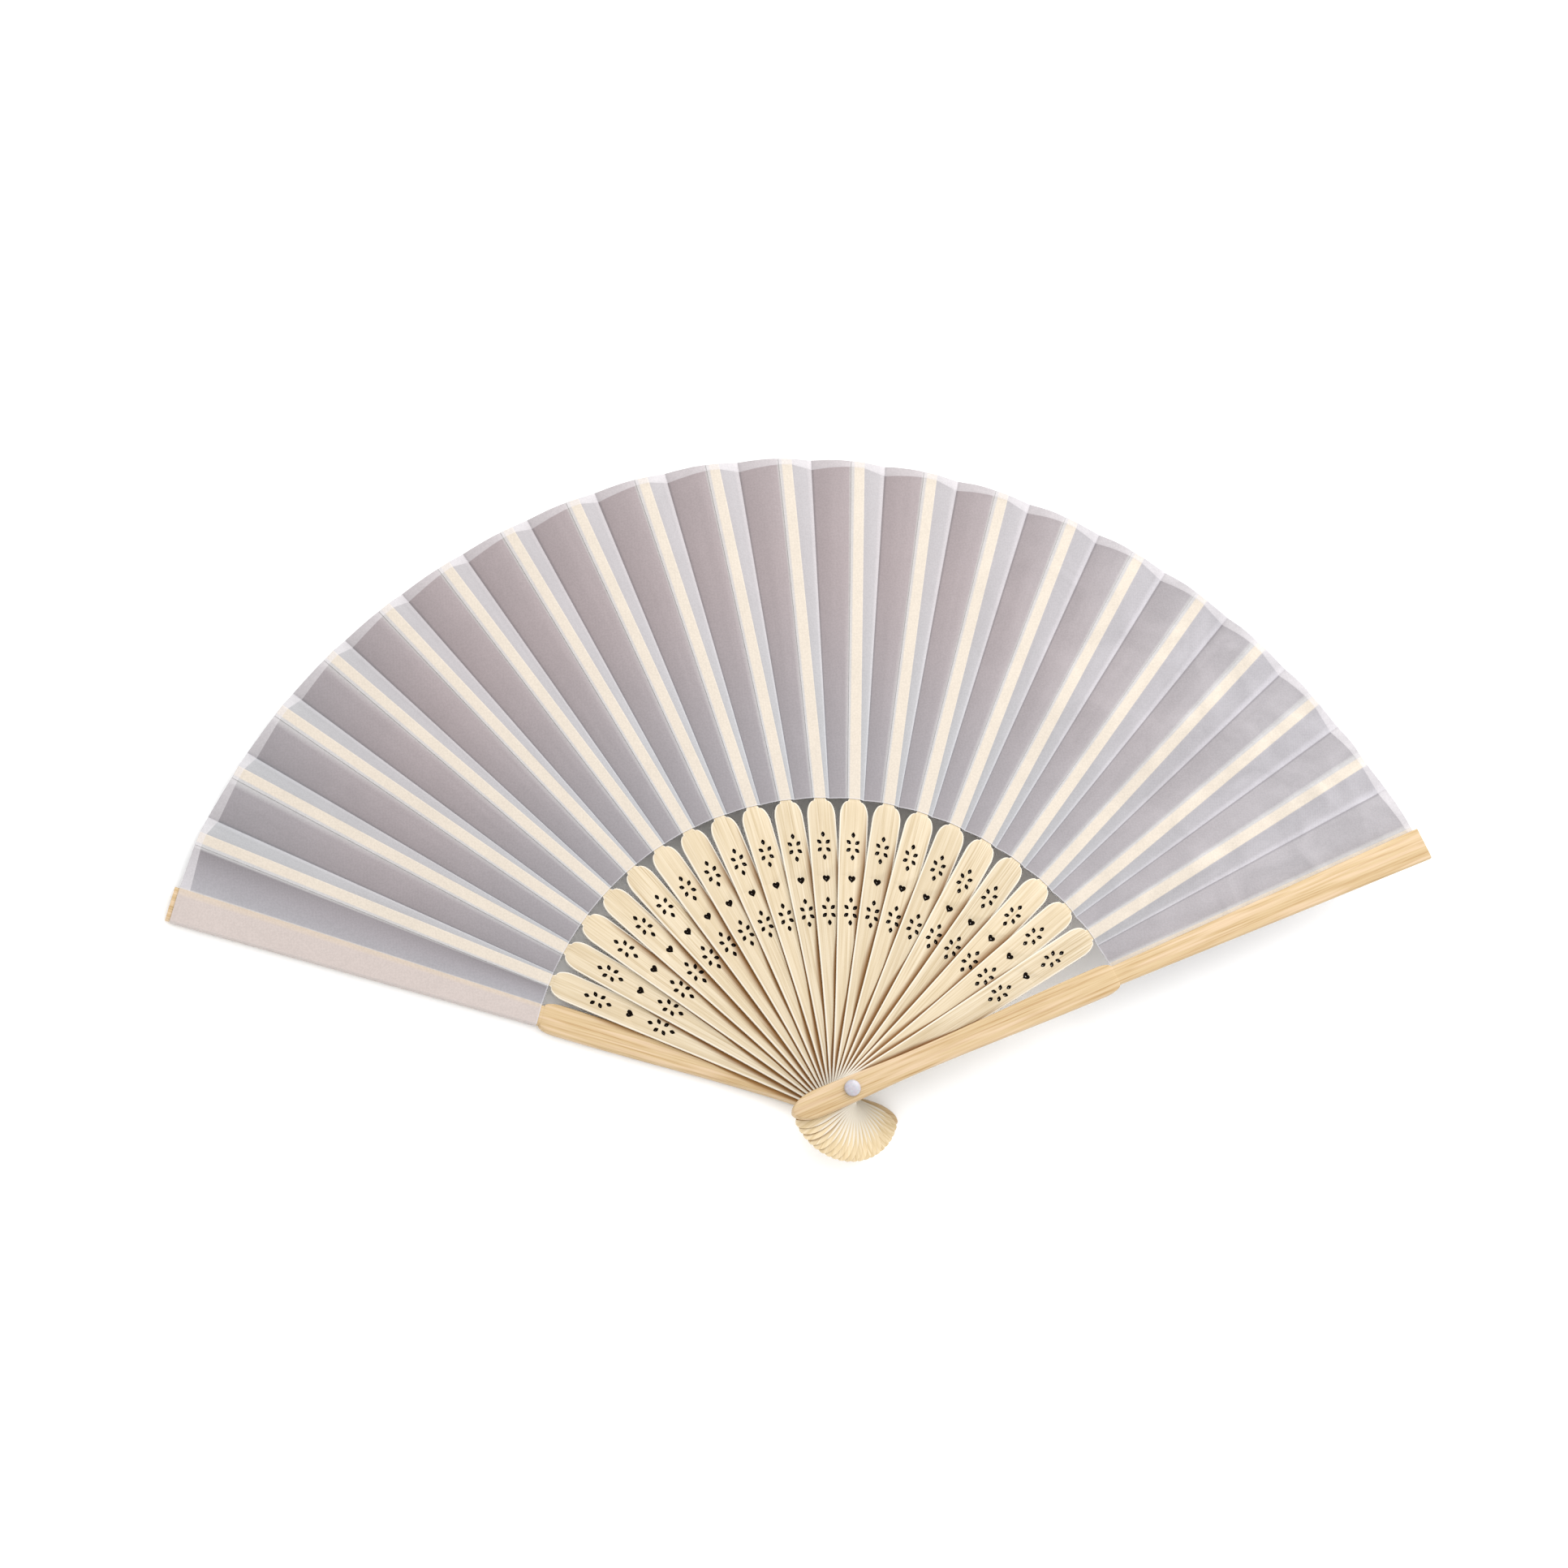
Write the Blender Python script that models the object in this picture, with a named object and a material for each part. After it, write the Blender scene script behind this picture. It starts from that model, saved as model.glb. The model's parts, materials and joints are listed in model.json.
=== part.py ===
"""Folding fan, open, lying on its back.

Twenty thin bamboo ribs and two thick bamboo guards turn on one rivet. Each rib lies on top of
its left neighbour, so the stack climbs one step per stick from the back guard to the front guard.
Above its pierced head a rib thins to a slip, and a pleated silk leaf is glued on top of the slips.

Frame: the rivet's axis is Z through the origin, Z = 0 is the table under the rivet's back cap,
and +Y runs up the middle of the open fan. A stick's own frame has +X along the stick, away from
the rivet, +Y to its left and Z = 0 on its underside. The sticks are parented in a chain, each to
the one under it, so turning a stick about its own Z by its step closes that gap of the fan.
"""
import math
from collections import namedtuple

import bmesh
import bpy
from mathutils import Vector

MM = 0.001

# How many ribs, and how far each gap opens
RIB_COUNT = 20
BACK_STEP = math.radians(6.74)
RIB_STEP = math.radians(6.56)
FRONT_STEP = math.radians(9.2)

# Lengths along a stick, from the rivet's axis
TAIL_REACH = 18.4 * MM
TAIL_ROUND = 8.5 * MM
WAIST_AT = 20.0 * MM
HEAD_REACH = 85.9 * MM
SHOULDER_LENGTH = 4.6 * MM
SLIP_END_INSET = 1.2 * MM
GUARD_REACH = 192.0 * MM

# Rib widths, and how far the first and the last slip's end leans to the left
RIB_TAIL_WIDTH = 7.2 * MM
RIB_WAIST_WIDTH = 6.7 * MM
RIB_HEAD_WIDTH = 8.2 * MM
RIB_NECK_WIDTH = 3.9 * MM
SLIP_ROOT_WIDTH = 3.2 * MM
SLIP_END_WIDTH = 2.8 * MM
FIRST_SLIP_LEAN = 2.3 * MM
LAST_SLIP_LEAN = -0.9 * MM
SLIP_LEAN_POWER = 5

# Guard widths
GUARD_TAIL_WIDTH = 7.6 * MM
GUARD_WAIST_WIDTH = 6.4 * MM
GUARD_HEAD_WIDTH = 8.6 * MM
GUARD_NECK_WIDTH = 5.6 * MM
GUARD_TIP_WIDTH = 9.6 * MM

# Thicknesses, and the gaps between the stacked pieces
GUARD_THICKNESS = 2.5 * MM
RIB_THICKNESS = 0.55 * MM
SLIP_THICKNESS = 0.3 * MM
STICK_GAP = 0.2 * MM
GUARD_EDGE_ROUND = 0.4 * MM

# Pierced flowers and heart in each rib's head, placed from the head's end
FLOWER_INSET = 12.9 * MM
FLOWER_TO_HEART = 9.6 * MM
PETAL_LENGTH = 1.5 * MM
PETAL_WIDTH = 0.9 * MM
END_PETAL_OFFSET = 3.5 * MM
SIDE_PETAL_ALONG = 1.35 * MM
SIDE_PETAL_ASIDE = 1.25 * MM
HEART_WIDTH = 1.9 * MM
HEART_LENGTH = 1.9 * MM

# Rivet: a pin with a cap pressed on each end
PIN_RADIUS = 1.2 * MM
PIN_CLEARANCE = 0.06 * MM
SOCKET_CLEARANCE = 0.03 * MM
CAP_RADIUS = 2.3 * MM
CAP_GAP = 0.1 * MM
BACK_CAP_HEIGHT = 0.9 * MM
BACK_CAP_ROUND = 0.3 * MM
BACK_SOCKET_DEPTH = 0.5 * MM
FRONT_CAP_HEIGHT = 1.6 * MM
FRONT_CAP_RIM = 0.4 * MM
FRONT_SOCKET_DEPTH = 0.9 * MM
PIN_END_GAP = 0.1 * MM

# Leaf: silk glued on the slips, folded down to a valley in each gap
LEAF_REACH = 190.4 * MM
LEAF_DIP = 3.0 * MM
LEAF_DIP_AT_SHARE = 0.3
LEAF_DIP_SPREAD_SHARE = 0.17
LEAF_HEAD_GAP = 0.9 * MM
LEAF_THICKNESS = 0.1 * MM
HEM_THICKNESS = 0.15 * MM
HEM_WIDTH = 2.8 * MM
GLUE_GAP = 0.04 * MM
SEAM_GAP = 0.06 * MM
RIDGE_INSIDE = 0.4 * MM
RIDGE_OUTSIDE = 1.0 * MM
CREASE_INSET = 0.1 * MM
VALLEY_DEPTH_INSIDE = 0.6 * MM
FIRST_VALLEY_DEPTH = 4.2 * MM
LAST_VALLEY_DEPTH = 2.8 * MM
FIRST_VALLEY_FLARE = 0.3 * MM
LAST_VALLEY_FLARE = 1.6 * MM
TABLE_CLEARANCE = 0.3 * MM
FIRST_VALLEY_ANGLE = math.radians(2.5)
LAST_VALLEY_ANGLE = math.radians(3.55)
VALLEY_ANGLE_POWER = 1.3
BACK_REACH_RISE = 1.0 * MM
BACK_FOLD_DEPTH = 1.2 * MM
BACK_FOLD_FLARE = 2.0 * MM
BACK_FOLD_SHARE = 0.3
GLUED_EDGE_INSET = 0.1 * MM
FRONT_RIDGE_OUTSIDE = 1.5 * MM
FRONT_REACH_RISE = 1.4 * MM
TAB_WIDTH = 4.6 * MM

# Facets and cutting
TAIL_FACETS = 5
EDGE_FACETS = 5
SHOULDER_FACETS = 4
PETAL_SIDES = 6
LOBE_FACETS = 4
ROUND_SIDES = 16
DOME_FACETS = 4
PANEL_FACETS = 4
CUT_OVERRUN = 0.5 * MM
NECK_LAP = 3.0 * MM

Stick = namedtuple("Stick", "tail waist head neck root tip reach lean thickness upper_thickness")
RIB = Stick(RIB_TAIL_WIDTH, RIB_WAIST_WIDTH, RIB_HEAD_WIDTH, RIB_NECK_WIDTH, SLIP_ROOT_WIDTH,
            SLIP_END_WIDTH, LEAF_REACH - SLIP_END_INSET, FIRST_SLIP_LEAN, RIB_THICKNESS, SLIP_THICKNESS)
GUARD = Stick(GUARD_TAIL_WIDTH, GUARD_WAIST_WIDTH, GUARD_HEAD_WIDTH, GUARD_NECK_WIDTH, GUARD_NECK_WIDTH,
              GUARD_TIP_WIDTH, GUARD_REACH, 0, GUARD_THICKNESS, GUARD_THICKNESS)

# Places that follow from the sizes above
LEAF_START = HEAD_REACH + LEAF_HEAD_GAP
BACK_GUARD_LEVEL = BACK_CAP_HEIGHT + CAP_GAP
RIB_PITCH = RIB_THICKNESS + STICK_GAP
GUARD_TO_RIB = GUARD_THICKNESS + STICK_GAP
OPENING = BACK_STEP + (RIB_COUNT - 1) * RIB_STEP + FRONT_STEP
STACK_TOP = BACK_GUARD_LEVEL + GUARD_TO_RIB + RIB_COUNT * RIB_PITCH + GUARD_THICKNESS


def clear_scene():
    for thing in list(bpy.data.objects):
        bpy.data.objects.remove(thing, do_unlink=True)


def linear(hex_colour):
    """Linear RGBA of an sRGB hex colour."""
    channels = [int(hex_colour[k:k + 2], 16) / 255 for k in (0, 2, 4)]
    return [c / 12.92 if c <= 0.04045 else ((c + 0.055) / 1.055) ** 2.4 for c in channels] + [1]


def make_material(name, hex_colour, roughness, metallic=0):
    material = bpy.data.materials.new(name)
    material.use_nodes = True
    shader = material.node_tree.nodes["Principled BSDF"]
    shader.inputs["Base Color"].default_value = linear(hex_colour)
    shader.inputs["Roughness"].default_value = roughness
    shader.inputs["Metallic"].default_value = metallic
    material.diffuse_color = linear(hex_colour)
    return material


def add_object(name, mesh, material=None, parent=None):
    """A new object with the mesh, in the frame of its parent."""
    thing = bpy.data.objects.new(name, mesh)
    bpy.context.collection.objects.link(thing)
    thing.parent = parent
    if material and not mesh.materials:
        mesh.materials.append(material)
    return thing


def mesh_from(bm, name):
    bmesh.ops.recalc_face_normals(bm, faces=bm.faces)
    mesh = bpy.data.meshes.new(name)
    bm.to_mesh(mesh)
    bm.free()
    return mesh


def add_prism(bm, outline, bottom, top):
    """A closed prism over an outline of (x, y) points, from one height to another."""
    floor = bm.faces.new([bm.verts.new((x, y, bottom)) for x, y in outline])
    walls = bmesh.ops.extrude_face_region(bm, geom=[floor], use_keep_orig=True)
    raised = [item for item in walls["geom"] if isinstance(item, bmesh.types.BMVert)]
    bmesh.ops.translate(bm, verts=raised, vec=(0, 0, top - bottom))


def polygon(radius, sides):
    """Corners of a regular polygon that clears a round of this radius."""
    corner = radius / math.cos(math.pi / sides)
    turns = [2 * math.pi * (k + 0.5) / sides for k in range(sides)]
    return [(corner * math.cos(turn), corner * math.sin(turn)) for turn in turns]


def apply_modifiers(thing, name):
    """The object's mesh with its modifiers applied; the object itself is removed."""
    mesh = bpy.data.meshes.new_from_object(thing.evaluated_get(bpy.context.evaluated_depsgraph_get()))
    mesh.name = name
    bpy.data.objects.remove(thing, do_unlink=True)
    return mesh


def add_boolean(thing, operation, other):
    modifier = thing.modifiers.new(operation.lower(), "BOOLEAN")
    modifier.operation = operation
    modifier.solver = "EXACT"
    modifier.object = other
    other.hide_render = True
    other.display_type = "WIRE"


def ease(share):
    return share * share * (3 - 2 * share)


def side_of_handle(stick):
    """(x, half width) along a stick's side, from beside the tail's end to the neck."""
    points = []
    for k in range(1, TAIL_FACETS):
        turn = math.pi / 2 * k / TAIL_FACETS
        points.append((TAIL_ROUND * (1 - math.cos(turn)) - TAIL_REACH, stick.tail / 2 * math.sin(turn)))
    stations = ((TAIL_ROUND - TAIL_REACH, stick.tail), (WAIST_AT, stick.waist),
                (HEAD_REACH - SHOULDER_LENGTH, stick.head))
    for (start, start_width), (end, end_width) in zip(stations, stations[1:]):
        for k in range(EDGE_FACETS):
            share = k / EDGE_FACETS
            width = start_width + (end_width - start_width) * ease(share)
            points.append((start + (end - start) * share, width / 2))
    for k in range(SHOULDER_FACETS + 1):
        turn = math.pi / 2 * k / SHOULDER_FACETS
        step_in = (stick.head - stick.neck) / 2 * (1 - math.cos(turn))
        points.append((HEAD_REACH - SHOULDER_LENGTH * (1 - math.sin(turn)), stick.head / 2 - step_in))
    return points


def handle_outline(stick):
    side = side_of_handle(stick)
    left = [(x, half) for x, half in reversed(side)]
    right = [(x, -half) for x, half in side]
    return [(-TAIL_REACH, 0)] + right + left


def upper_outline(stick):
    """The slip of a rib, or the part of a guard above its head."""
    start = HEAD_REACH - NECK_LAP
    return [(start, -stick.root / 2), (HEAD_REACH, -stick.root / 2),
            (stick.reach, stick.lean - stick.tip / 2), (stick.reach, stick.lean + stick.tip / 2),
            (HEAD_REACH, stick.root / 2), (start, stick.root / 2)]


def petal_outline(x, y, turn):
    points = []
    for k in range(PETAL_SIDES):
        around = 2 * math.pi * k / PETAL_SIDES
        along = PETAL_LENGTH / 2 * math.cos(around)
        aside = PETAL_WIDTH / 2 * math.sin(around)
        points.append((x + along * math.cos(turn) - aside * math.sin(turn),
                       y + along * math.sin(turn) + aside * math.cos(turn)))
    return points


def flower_outlines(x):
    """Six petals: one at each end of the flower and two on each side of its centre."""
    petals = [petal_outline(x - END_PETAL_OFFSET, 0, 0), petal_outline(x + END_PETAL_OFFSET, 0, 0)]
    for along in (-SIDE_PETAL_ALONG, SIDE_PETAL_ALONG):
        for aside in (-SIDE_PETAL_ASIDE, SIDE_PETAL_ASIDE):
            petals.append(petal_outline(x + along, aside, math.atan2(aside, along)))
    return petals


def heart_outline(x):
    """Two round lobes towards the head's end and a point towards the rivet."""
    lobe = HEART_WIDTH / 4
    lobe_x = x + HEART_LENGTH / 2 - lobe
    points = [(x - HEART_LENGTH / 2, 0)]
    for lobe_y, turns in ((-lobe, range(LOBE_FACETS)), (lobe, range(LOBE_FACETS + 1))):
        for k in turns:
            turn = math.pi * k / LOBE_FACETS
            points.append((lobe_x + lobe * math.sin(turn), lobe_y - lobe * math.cos(turn)))
    return points


def stick_mesh(name, stick, edge_round, holes):
    """One stick: its handle with rounded edges, joined to its upper part, with its holes cut."""
    bm = bmesh.new()
    add_prism(bm, handle_outline(stick), 0, stick.thickness)
    handle = add_object(name, mesh_from(bm, name))
    bm = bmesh.new()
    add_prism(bm, upper_outline(stick), 0, stick.upper_thickness)
    upper = add_object(name + "_upper", mesh_from(bm, name + "_upper"))
    add_boolean(handle, "UNION", upper)
    if edge_round:
        bevel = handle.modifiers.new("edges", "BEVEL")
        bevel.width = edge_round
        bevel.segments = 2
        bevel.limit_method = "ANGLE"
        bevel.angle_limit = math.radians(60)
    bm = bmesh.new()
    for hole in [polygon(PIN_RADIUS + PIN_CLEARANCE, ROUND_SIDES)] + holes:
        add_prism(bm, hole, -CUT_OVERRUN, stick.thickness + CUT_OVERRUN)
    cutter = add_object(name + "_holes", mesh_from(bm, name + "_holes"))
    add_boolean(handle, "DIFFERENCE", cutter)
    mesh = apply_modifiers(handle, name)
    bpy.data.objects.remove(upper, do_unlink=True)
    bpy.data.objects.remove(cutter, do_unlink=True)
    return mesh


def stick_step(index):
    """The open angle between a stick and the one under it."""
    if index == 1:
        return BACK_STEP
    return RIB_STEP if index <= RIB_COUNT else FRONT_STEP


def stick_rise(index):
    """The height of a stick's underside above that of the one under it."""
    return GUARD_TO_RIB if index == 1 else RIB_PITCH


def stick_level(index):
    return BACK_GUARD_LEVEL + sum(stick_rise(k) for k in range(1, index + 1))


def leaf_reach(index):
    """How far the leaf reaches along a stick. Its trimmed edge dips in the left half of the fan,
    and the silk is drawn out a little beside each guard."""
    off_middle = (index / (RIB_COUNT + 1) - LEAF_DIP_AT_SHARE) / LEAF_DIP_SPREAD_SHARE
    reach = LEAF_REACH - LEAF_DIP * math.exp(-off_middle * off_middle)
    if index > RIB_COUNT:
        return reach + FRONT_REACH_RISE
    return reach + BACK_REACH_RISE / index ** 2 if index else reach


def from_first_to_last(index, first, last, power=1):
    """A size that changes from the first rib to the last, evenly or mostly near the last."""
    return first + (last - first) * ((index - 1) / (RIB_COUNT - 1)) ** power


def rib_shape(index):
    """A rib whose slip ends just inside the leaf's edge. Near the front guard the stretched silk
    pulls the slips to the right."""
    lean = from_first_to_last(index, FIRST_SLIP_LEAN, LAST_SLIP_LEAN, SLIP_LEAN_POWER)
    return RIB._replace(reach=leaf_reach(index) - SLIP_END_INSET, lean=lean)


def add_sticks():
    """The back guard, the ribs and the front guard, each a child of the stick under it."""
    guard_wood = make_material("guard_bamboo", "F0D096", 0.45)
    rib_wood = make_material("rib_bamboo", "F2E3BC", 0.5)
    guard = stick_mesh("guard", GUARD, GUARD_EDGE_ROUND, [])
    heart_x = HEAD_REACH - FLOWER_INSET - FLOWER_TO_HEART
    holes = [heart_outline(heart_x)]
    holes += flower_outlines(heart_x + FLOWER_TO_HEART) + flower_outlines(heart_x - FLOWER_TO_HEART)
    back = add_object("back_guard", guard, guard_wood)
    back.location = (0, 0, BACK_GUARD_LEVEL)
    back.rotation_euler = (0, 0, math.pi / 2 + OPENING / 2)
    sticks = [back]
    for index in range(1, RIB_COUNT + 2):
        if index <= RIB_COUNT:
            name = "rib_%02d" % index
            stick = add_object(name, stick_mesh(name, rib_shape(index), 0, holes), rib_wood, sticks[-1])
        else:
            stick = add_object("front_guard", guard, guard_wood, sticks[-1])
        stick.location = (0, 0, stick_rise(index))
        stick.rotation_euler = (0, 0, -stick_step(index))
        sticks.append(stick)
    return sticks


def turned_mesh(name, profile):
    """A closed solid turned about Z from (radius, height) points, the first and last on the axis."""
    bm = bmesh.new()
    verts = [bm.verts.new((radius, 0, height)) for radius, height in profile]
    edges = [bm.edges.new(pair) for pair in zip(verts, verts[1:])]
    bmesh.ops.spin(bm, geom=verts + edges, cent=(0, 0, 0), axis=(0, 0, 1), angle=2 * math.pi,
                   steps=ROUND_SIDES, use_merge=True)
    bmesh.ops.remove_doubles(bm, verts=bm.verts, dist=PIN_CLEARANCE / 10)
    mesh = mesh_from(bm, name)
    mesh.shade_smooth()
    mesh.set_sharp_from_angle(angle=math.radians(40))
    return mesh


def quarter_round(centre_radius, centre_height, radius, height, facets):
    """(radius, height) points of a quarter ellipse, from its rim up to its top."""
    turns = [math.pi / 2 * k / facets for k in range(facets + 1)]
    return [(centre_radius + radius * math.cos(turn), centre_height + height * math.sin(turn))
            for turn in turns]


def add_rivet(back_guard):
    """The pin and its two caps, in the back guard's frame."""
    cap_plastic = make_material("rivet_plastic", "E6E3E6", 0.3)
    pin_steel = make_material("rivet_steel", "B8B8BA", 0.35, 1)
    table = -BACK_GUARD_LEVEL
    cap_seat = STACK_TOP - BACK_GUARD_LEVEL + CAP_GAP
    socket = (PIN_RADIUS + SOCKET_CLEARANCE) / math.cos(math.pi / ROUND_SIDES)
    back_top = table + BACK_CAP_HEIGHT
    flat_radius = CAP_RADIUS - BACK_CAP_ROUND
    rounding = quarter_round(flat_radius, table + BACK_CAP_ROUND, BACK_CAP_ROUND, -BACK_CAP_ROUND, 2)
    back_profile = [(0, table)] + rounding[::-1] + [
        (CAP_RADIUS, back_top), (socket, back_top), (socket, back_top - BACK_SOCKET_DEPTH),
        (0, back_top - BACK_SOCKET_DEPTH)]
    dome = quarter_round(0, cap_seat + FRONT_CAP_RIM, CAP_RADIUS, FRONT_CAP_HEIGHT - FRONT_CAP_RIM,
                         DOME_FACETS)
    front_profile = [(0, cap_seat + FRONT_SOCKET_DEPTH), (socket, cap_seat + FRONT_SOCKET_DEPTH),
                     (socket, cap_seat), (CAP_RADIUS, cap_seat)] + dome[:-1]
    front_profile.append((0, cap_seat + FRONT_CAP_HEIGHT))
    pin_bottom = back_top - BACK_SOCKET_DEPTH + PIN_END_GAP
    pin_top = cap_seat + FRONT_SOCKET_DEPTH - PIN_END_GAP
    pin_profile = [(0, pin_bottom), (PIN_RADIUS, pin_bottom), (PIN_RADIUS, pin_top), (0, pin_top)]
    for name, profile, material in (("rivet_back_cap", back_profile, cap_plastic),
                                    ("rivet_pin", pin_profile, pin_steel),
                                    ("rivet_front_cap", front_profile, cap_plastic)):
        add_object(name, turned_mesh(name, profile), material, back_guard)


def polar(radius, turn, height):
    return Vector((radius * math.cos(turn), radius * math.sin(turn), height))


def edge_turn(radius, aside):
    """The angle at which a point of this radius lies this far to the left of a stick's middle."""
    return math.asin(aside / radius)


def side_at(stick, radius, side):
    """How far left of the middle a stick's upper edge lies; side is 1 for left, -1 for right."""
    share = (radius - HEAD_REACH) / (stick.reach - HEAD_REACH)
    half_width = (stick.root + (stick.tip - stick.root) * share) / 2
    return stick.lean * share + side * half_width


def fold_line(reach, asides, heights, turned=0, flare=0):
    """(radius, turn, height) of a fold at the leaf's inner and outer edge. Its two ends lie
    asides to the left of a stick's middle, and the whole line is turned about the rivet."""
    inside, outside = asides
    return ((LEAF_START, edge_turn(LEAF_START, inside) + turned, heights[0]),
            (reach + flare, edge_turn(reach, outside) + turned, heights[1]))


def beside(stick, reach, side, inside=0, outside=0):
    """How far left of a stick's middle the leaf lies when it clears the stick's edge by so much."""
    return side_at(stick, LEAF_START, side) + inside, side_at(stick, reach, side) + outside


def part_way(start, end, share, climb):
    """A fold line between two others: a share of the way round, and a share of the climb."""
    ends = []
    for (radius, turn, height), (end_radius, end_turn, end_height) in zip(start, end):
        ends.append((radius + (end_radius - radius) * share, turn + (end_turn - turn) * share,
                     height + (end_height - height) * climb))
    return tuple(ends)


def rising_panel(valley, ridge):
    """Fold lines of the panel that climbs from a valley, steeply at first, to the next ridge."""
    shares = [k / PANEL_FACETS for k in range(1, PANEL_FACETS + 1)]
    return [part_way(valley, ridge, share, math.sin(math.pi / 2 * share)) for share in shares]


def leaf_section(inner, outer):
    """A cut through the leaf along one fold line: the plain sheet, then the doubled hem."""
    share = (LEAF_REACH - HEM_WIDTH - LEAF_START) / (LEAF_REACH - LEAF_START)
    hem = inner.lerp(outer, share)
    up = Vector((0, 0, 1))
    return [inner, outer, outer + up * HEM_THICKNESS, hem + up * HEM_THICKNESS,
            hem + up * LEAF_THICKNESS, inner + up * LEAF_THICKNESS]


def leaf_mesh(name, fold_lines):
    """A closed sheet through its fold lines."""
    bm = bmesh.new()
    rings = []
    for inner, outer in fold_lines:
        rings.append([bm.verts.new(point) for point in leaf_section(polar(*inner), polar(*outer))])
    for ring, following in zip(rings, rings[1:]):
        for k, corner in enumerate(ring):
            bm.faces.new((corner, ring[k - 1], following[k - 1], following[k]))
    bm.faces.new(rings[0])
    bm.faces.new(rings[-1])
    return mesh_from(bm, name)


def rib_ridge(index, height, turned=0):
    """Where the leaf comes up to a rib, just left of its slip."""
    reach = leaf_reach(index)
    asides = beside(rib_shape(index), reach, 1, RIDGE_INSIDE, RIDGE_OUTSIDE)
    return fold_line(reach, asides, (height, height), turned)


def next_ridge(index):
    """Where pleat number index ends: a seam's gap short of the next pleat, in its own stick's frame."""
    rise = stick_rise(index + 1)
    if index < RIB_COUNT:
        ridge = rib_ridge(index + 1, rise + SLIP_THICKNESS + GLUE_GAP, -stick_step(index + 1))
    else:
        ridge = front_ridge(rise - GLUE_GAP - HEM_THICKNESS, -stick_step(index + 1))
    return tuple((radius, turn + SEAM_GAP / radius, height) for radius, turn, height in ridge)


def front_ridge(height, turned=0):
    """Where the leaf comes up beside the front guard."""
    reach = leaf_reach(RIB_COUNT + 1)
    asides = beside(GUARD, reach, 1, FRONT_RIDGE_OUTSIDE, FRONT_RIDGE_OUTSIDE)
    return fold_line(reach, asides, (height, height), turned)


def back_pleat_lines():
    """The leaf glued over the back guard's face, and its panel up to the first rib."""
    flat = GUARD_THICKNESS + GLUE_GAP
    reach = leaf_reach(0)
    edge = fold_line(reach, beside(GUARD, reach, 1, -GLUED_EDGE_INSET, -GLUED_EDGE_INSET), (flat, flat))
    crease = fold_line(reach, beside(GUARD, reach, -1, -CREASE_INSET, -CREASE_INSET), (flat, flat))
    ridge = next_ridge(0)
    inner, outer = part_way(crease, ridge, BACK_FOLD_SHARE, 0)
    fold = (inner, (outer[0] + BACK_FOLD_FLARE, outer[1], outer[2] - BACK_FOLD_DEPTH))
    return [edge, crease, fold] + rising_panel(fold, ridge)


def rib_pleat_lines(index):
    """One pleat: flat over the slip, down to its valley, and up to the next ridge."""
    rib = rib_shape(index)
    reach = leaf_reach(index)
    flat = SLIP_THICKNESS + GLUE_GAP
    crease = fold_line(reach, beside(rib, reach, -1, -CREASE_INSET, -CREASE_INSET), (flat, flat))
    deepest = stick_level(index) + flat - TABLE_CLEARANCE
    depth = from_first_to_last(index, FIRST_VALLEY_DEPTH, LAST_VALLEY_DEPTH)
    heights = flat - VALLEY_DEPTH_INSIDE, flat - min(depth, deepest)
    angle = from_first_to_last(index, FIRST_VALLEY_ANGLE, LAST_VALLEY_ANGLE, VALLEY_ANGLE_POWER)
    flare = from_first_to_last(index, FIRST_VALLEY_FLARE, LAST_VALLEY_FLARE)
    valley = fold_line((reach + leaf_reach(index + 1)) / 2, beside(rib, reach, 1), heights, -angle, flare)
    return [rib_ridge(index, flat), crease, valley] + rising_panel(valley, next_ridge(index))


def end_tab_lines():
    """The leaf's last strip, glued under the front guard."""
    height = -GLUE_GAP - HEM_THICKNESS
    reach = leaf_reach(RIB_COUNT + 1)
    inside = beside(GUARD, reach, 1, -TAB_WIDTH, -TAB_WIDTH)
    return [front_ridge(height), fold_line(reach, inside, (height, height))]


def add_leaf(sticks):
    """One pleat per gap, each in the frame of the stick that it is glued to, and the end tab."""
    silk = make_material("leaf_silk", "BDB6BA", 0.6)
    for index, stick in enumerate(sticks[:-1]):
        name = "leaf_pleat_%02d" % index
        lines = rib_pleat_lines(index) if index else back_pleat_lines()
        add_object(name, leaf_mesh(name, lines), silk, stick)
    add_object("leaf_end_tab", leaf_mesh("leaf_end_tab", end_tab_lines()), silk, sticks[-1])


def build():
    clear_scene()
    sticks = add_sticks()
    add_rivet(sticks[0])
    add_leaf(sticks)
    bpy.context.view_layer.update()


build()
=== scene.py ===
# %% [markdown]
# # A folding fan of pierced bamboo and pleated silk
#
# The fan lies open on its back. Twenty thin bamboo ribs and two thick guards turn on one rivet,
# and a pleated silk leaf is glued on top of the ribs' slips. The measured model comes first, as a
# frame that nothing here moves. Each step below then makes one kind of piece, with its finish,
# around that frame.

from functools import partial
import json
import math

import bmesh
import bpy
import numpy as np
from mathutils import Matrix, Vector


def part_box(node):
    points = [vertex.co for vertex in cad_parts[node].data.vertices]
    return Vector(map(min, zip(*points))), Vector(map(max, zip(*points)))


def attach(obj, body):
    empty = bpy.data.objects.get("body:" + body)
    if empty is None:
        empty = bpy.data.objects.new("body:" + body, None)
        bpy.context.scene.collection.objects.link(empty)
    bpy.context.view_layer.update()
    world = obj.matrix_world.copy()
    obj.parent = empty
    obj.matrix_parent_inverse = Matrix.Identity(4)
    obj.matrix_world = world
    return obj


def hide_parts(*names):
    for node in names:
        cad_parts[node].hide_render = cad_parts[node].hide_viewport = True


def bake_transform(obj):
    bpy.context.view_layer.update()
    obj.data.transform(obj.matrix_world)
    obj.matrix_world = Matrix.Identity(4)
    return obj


MM = 0.001
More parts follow.
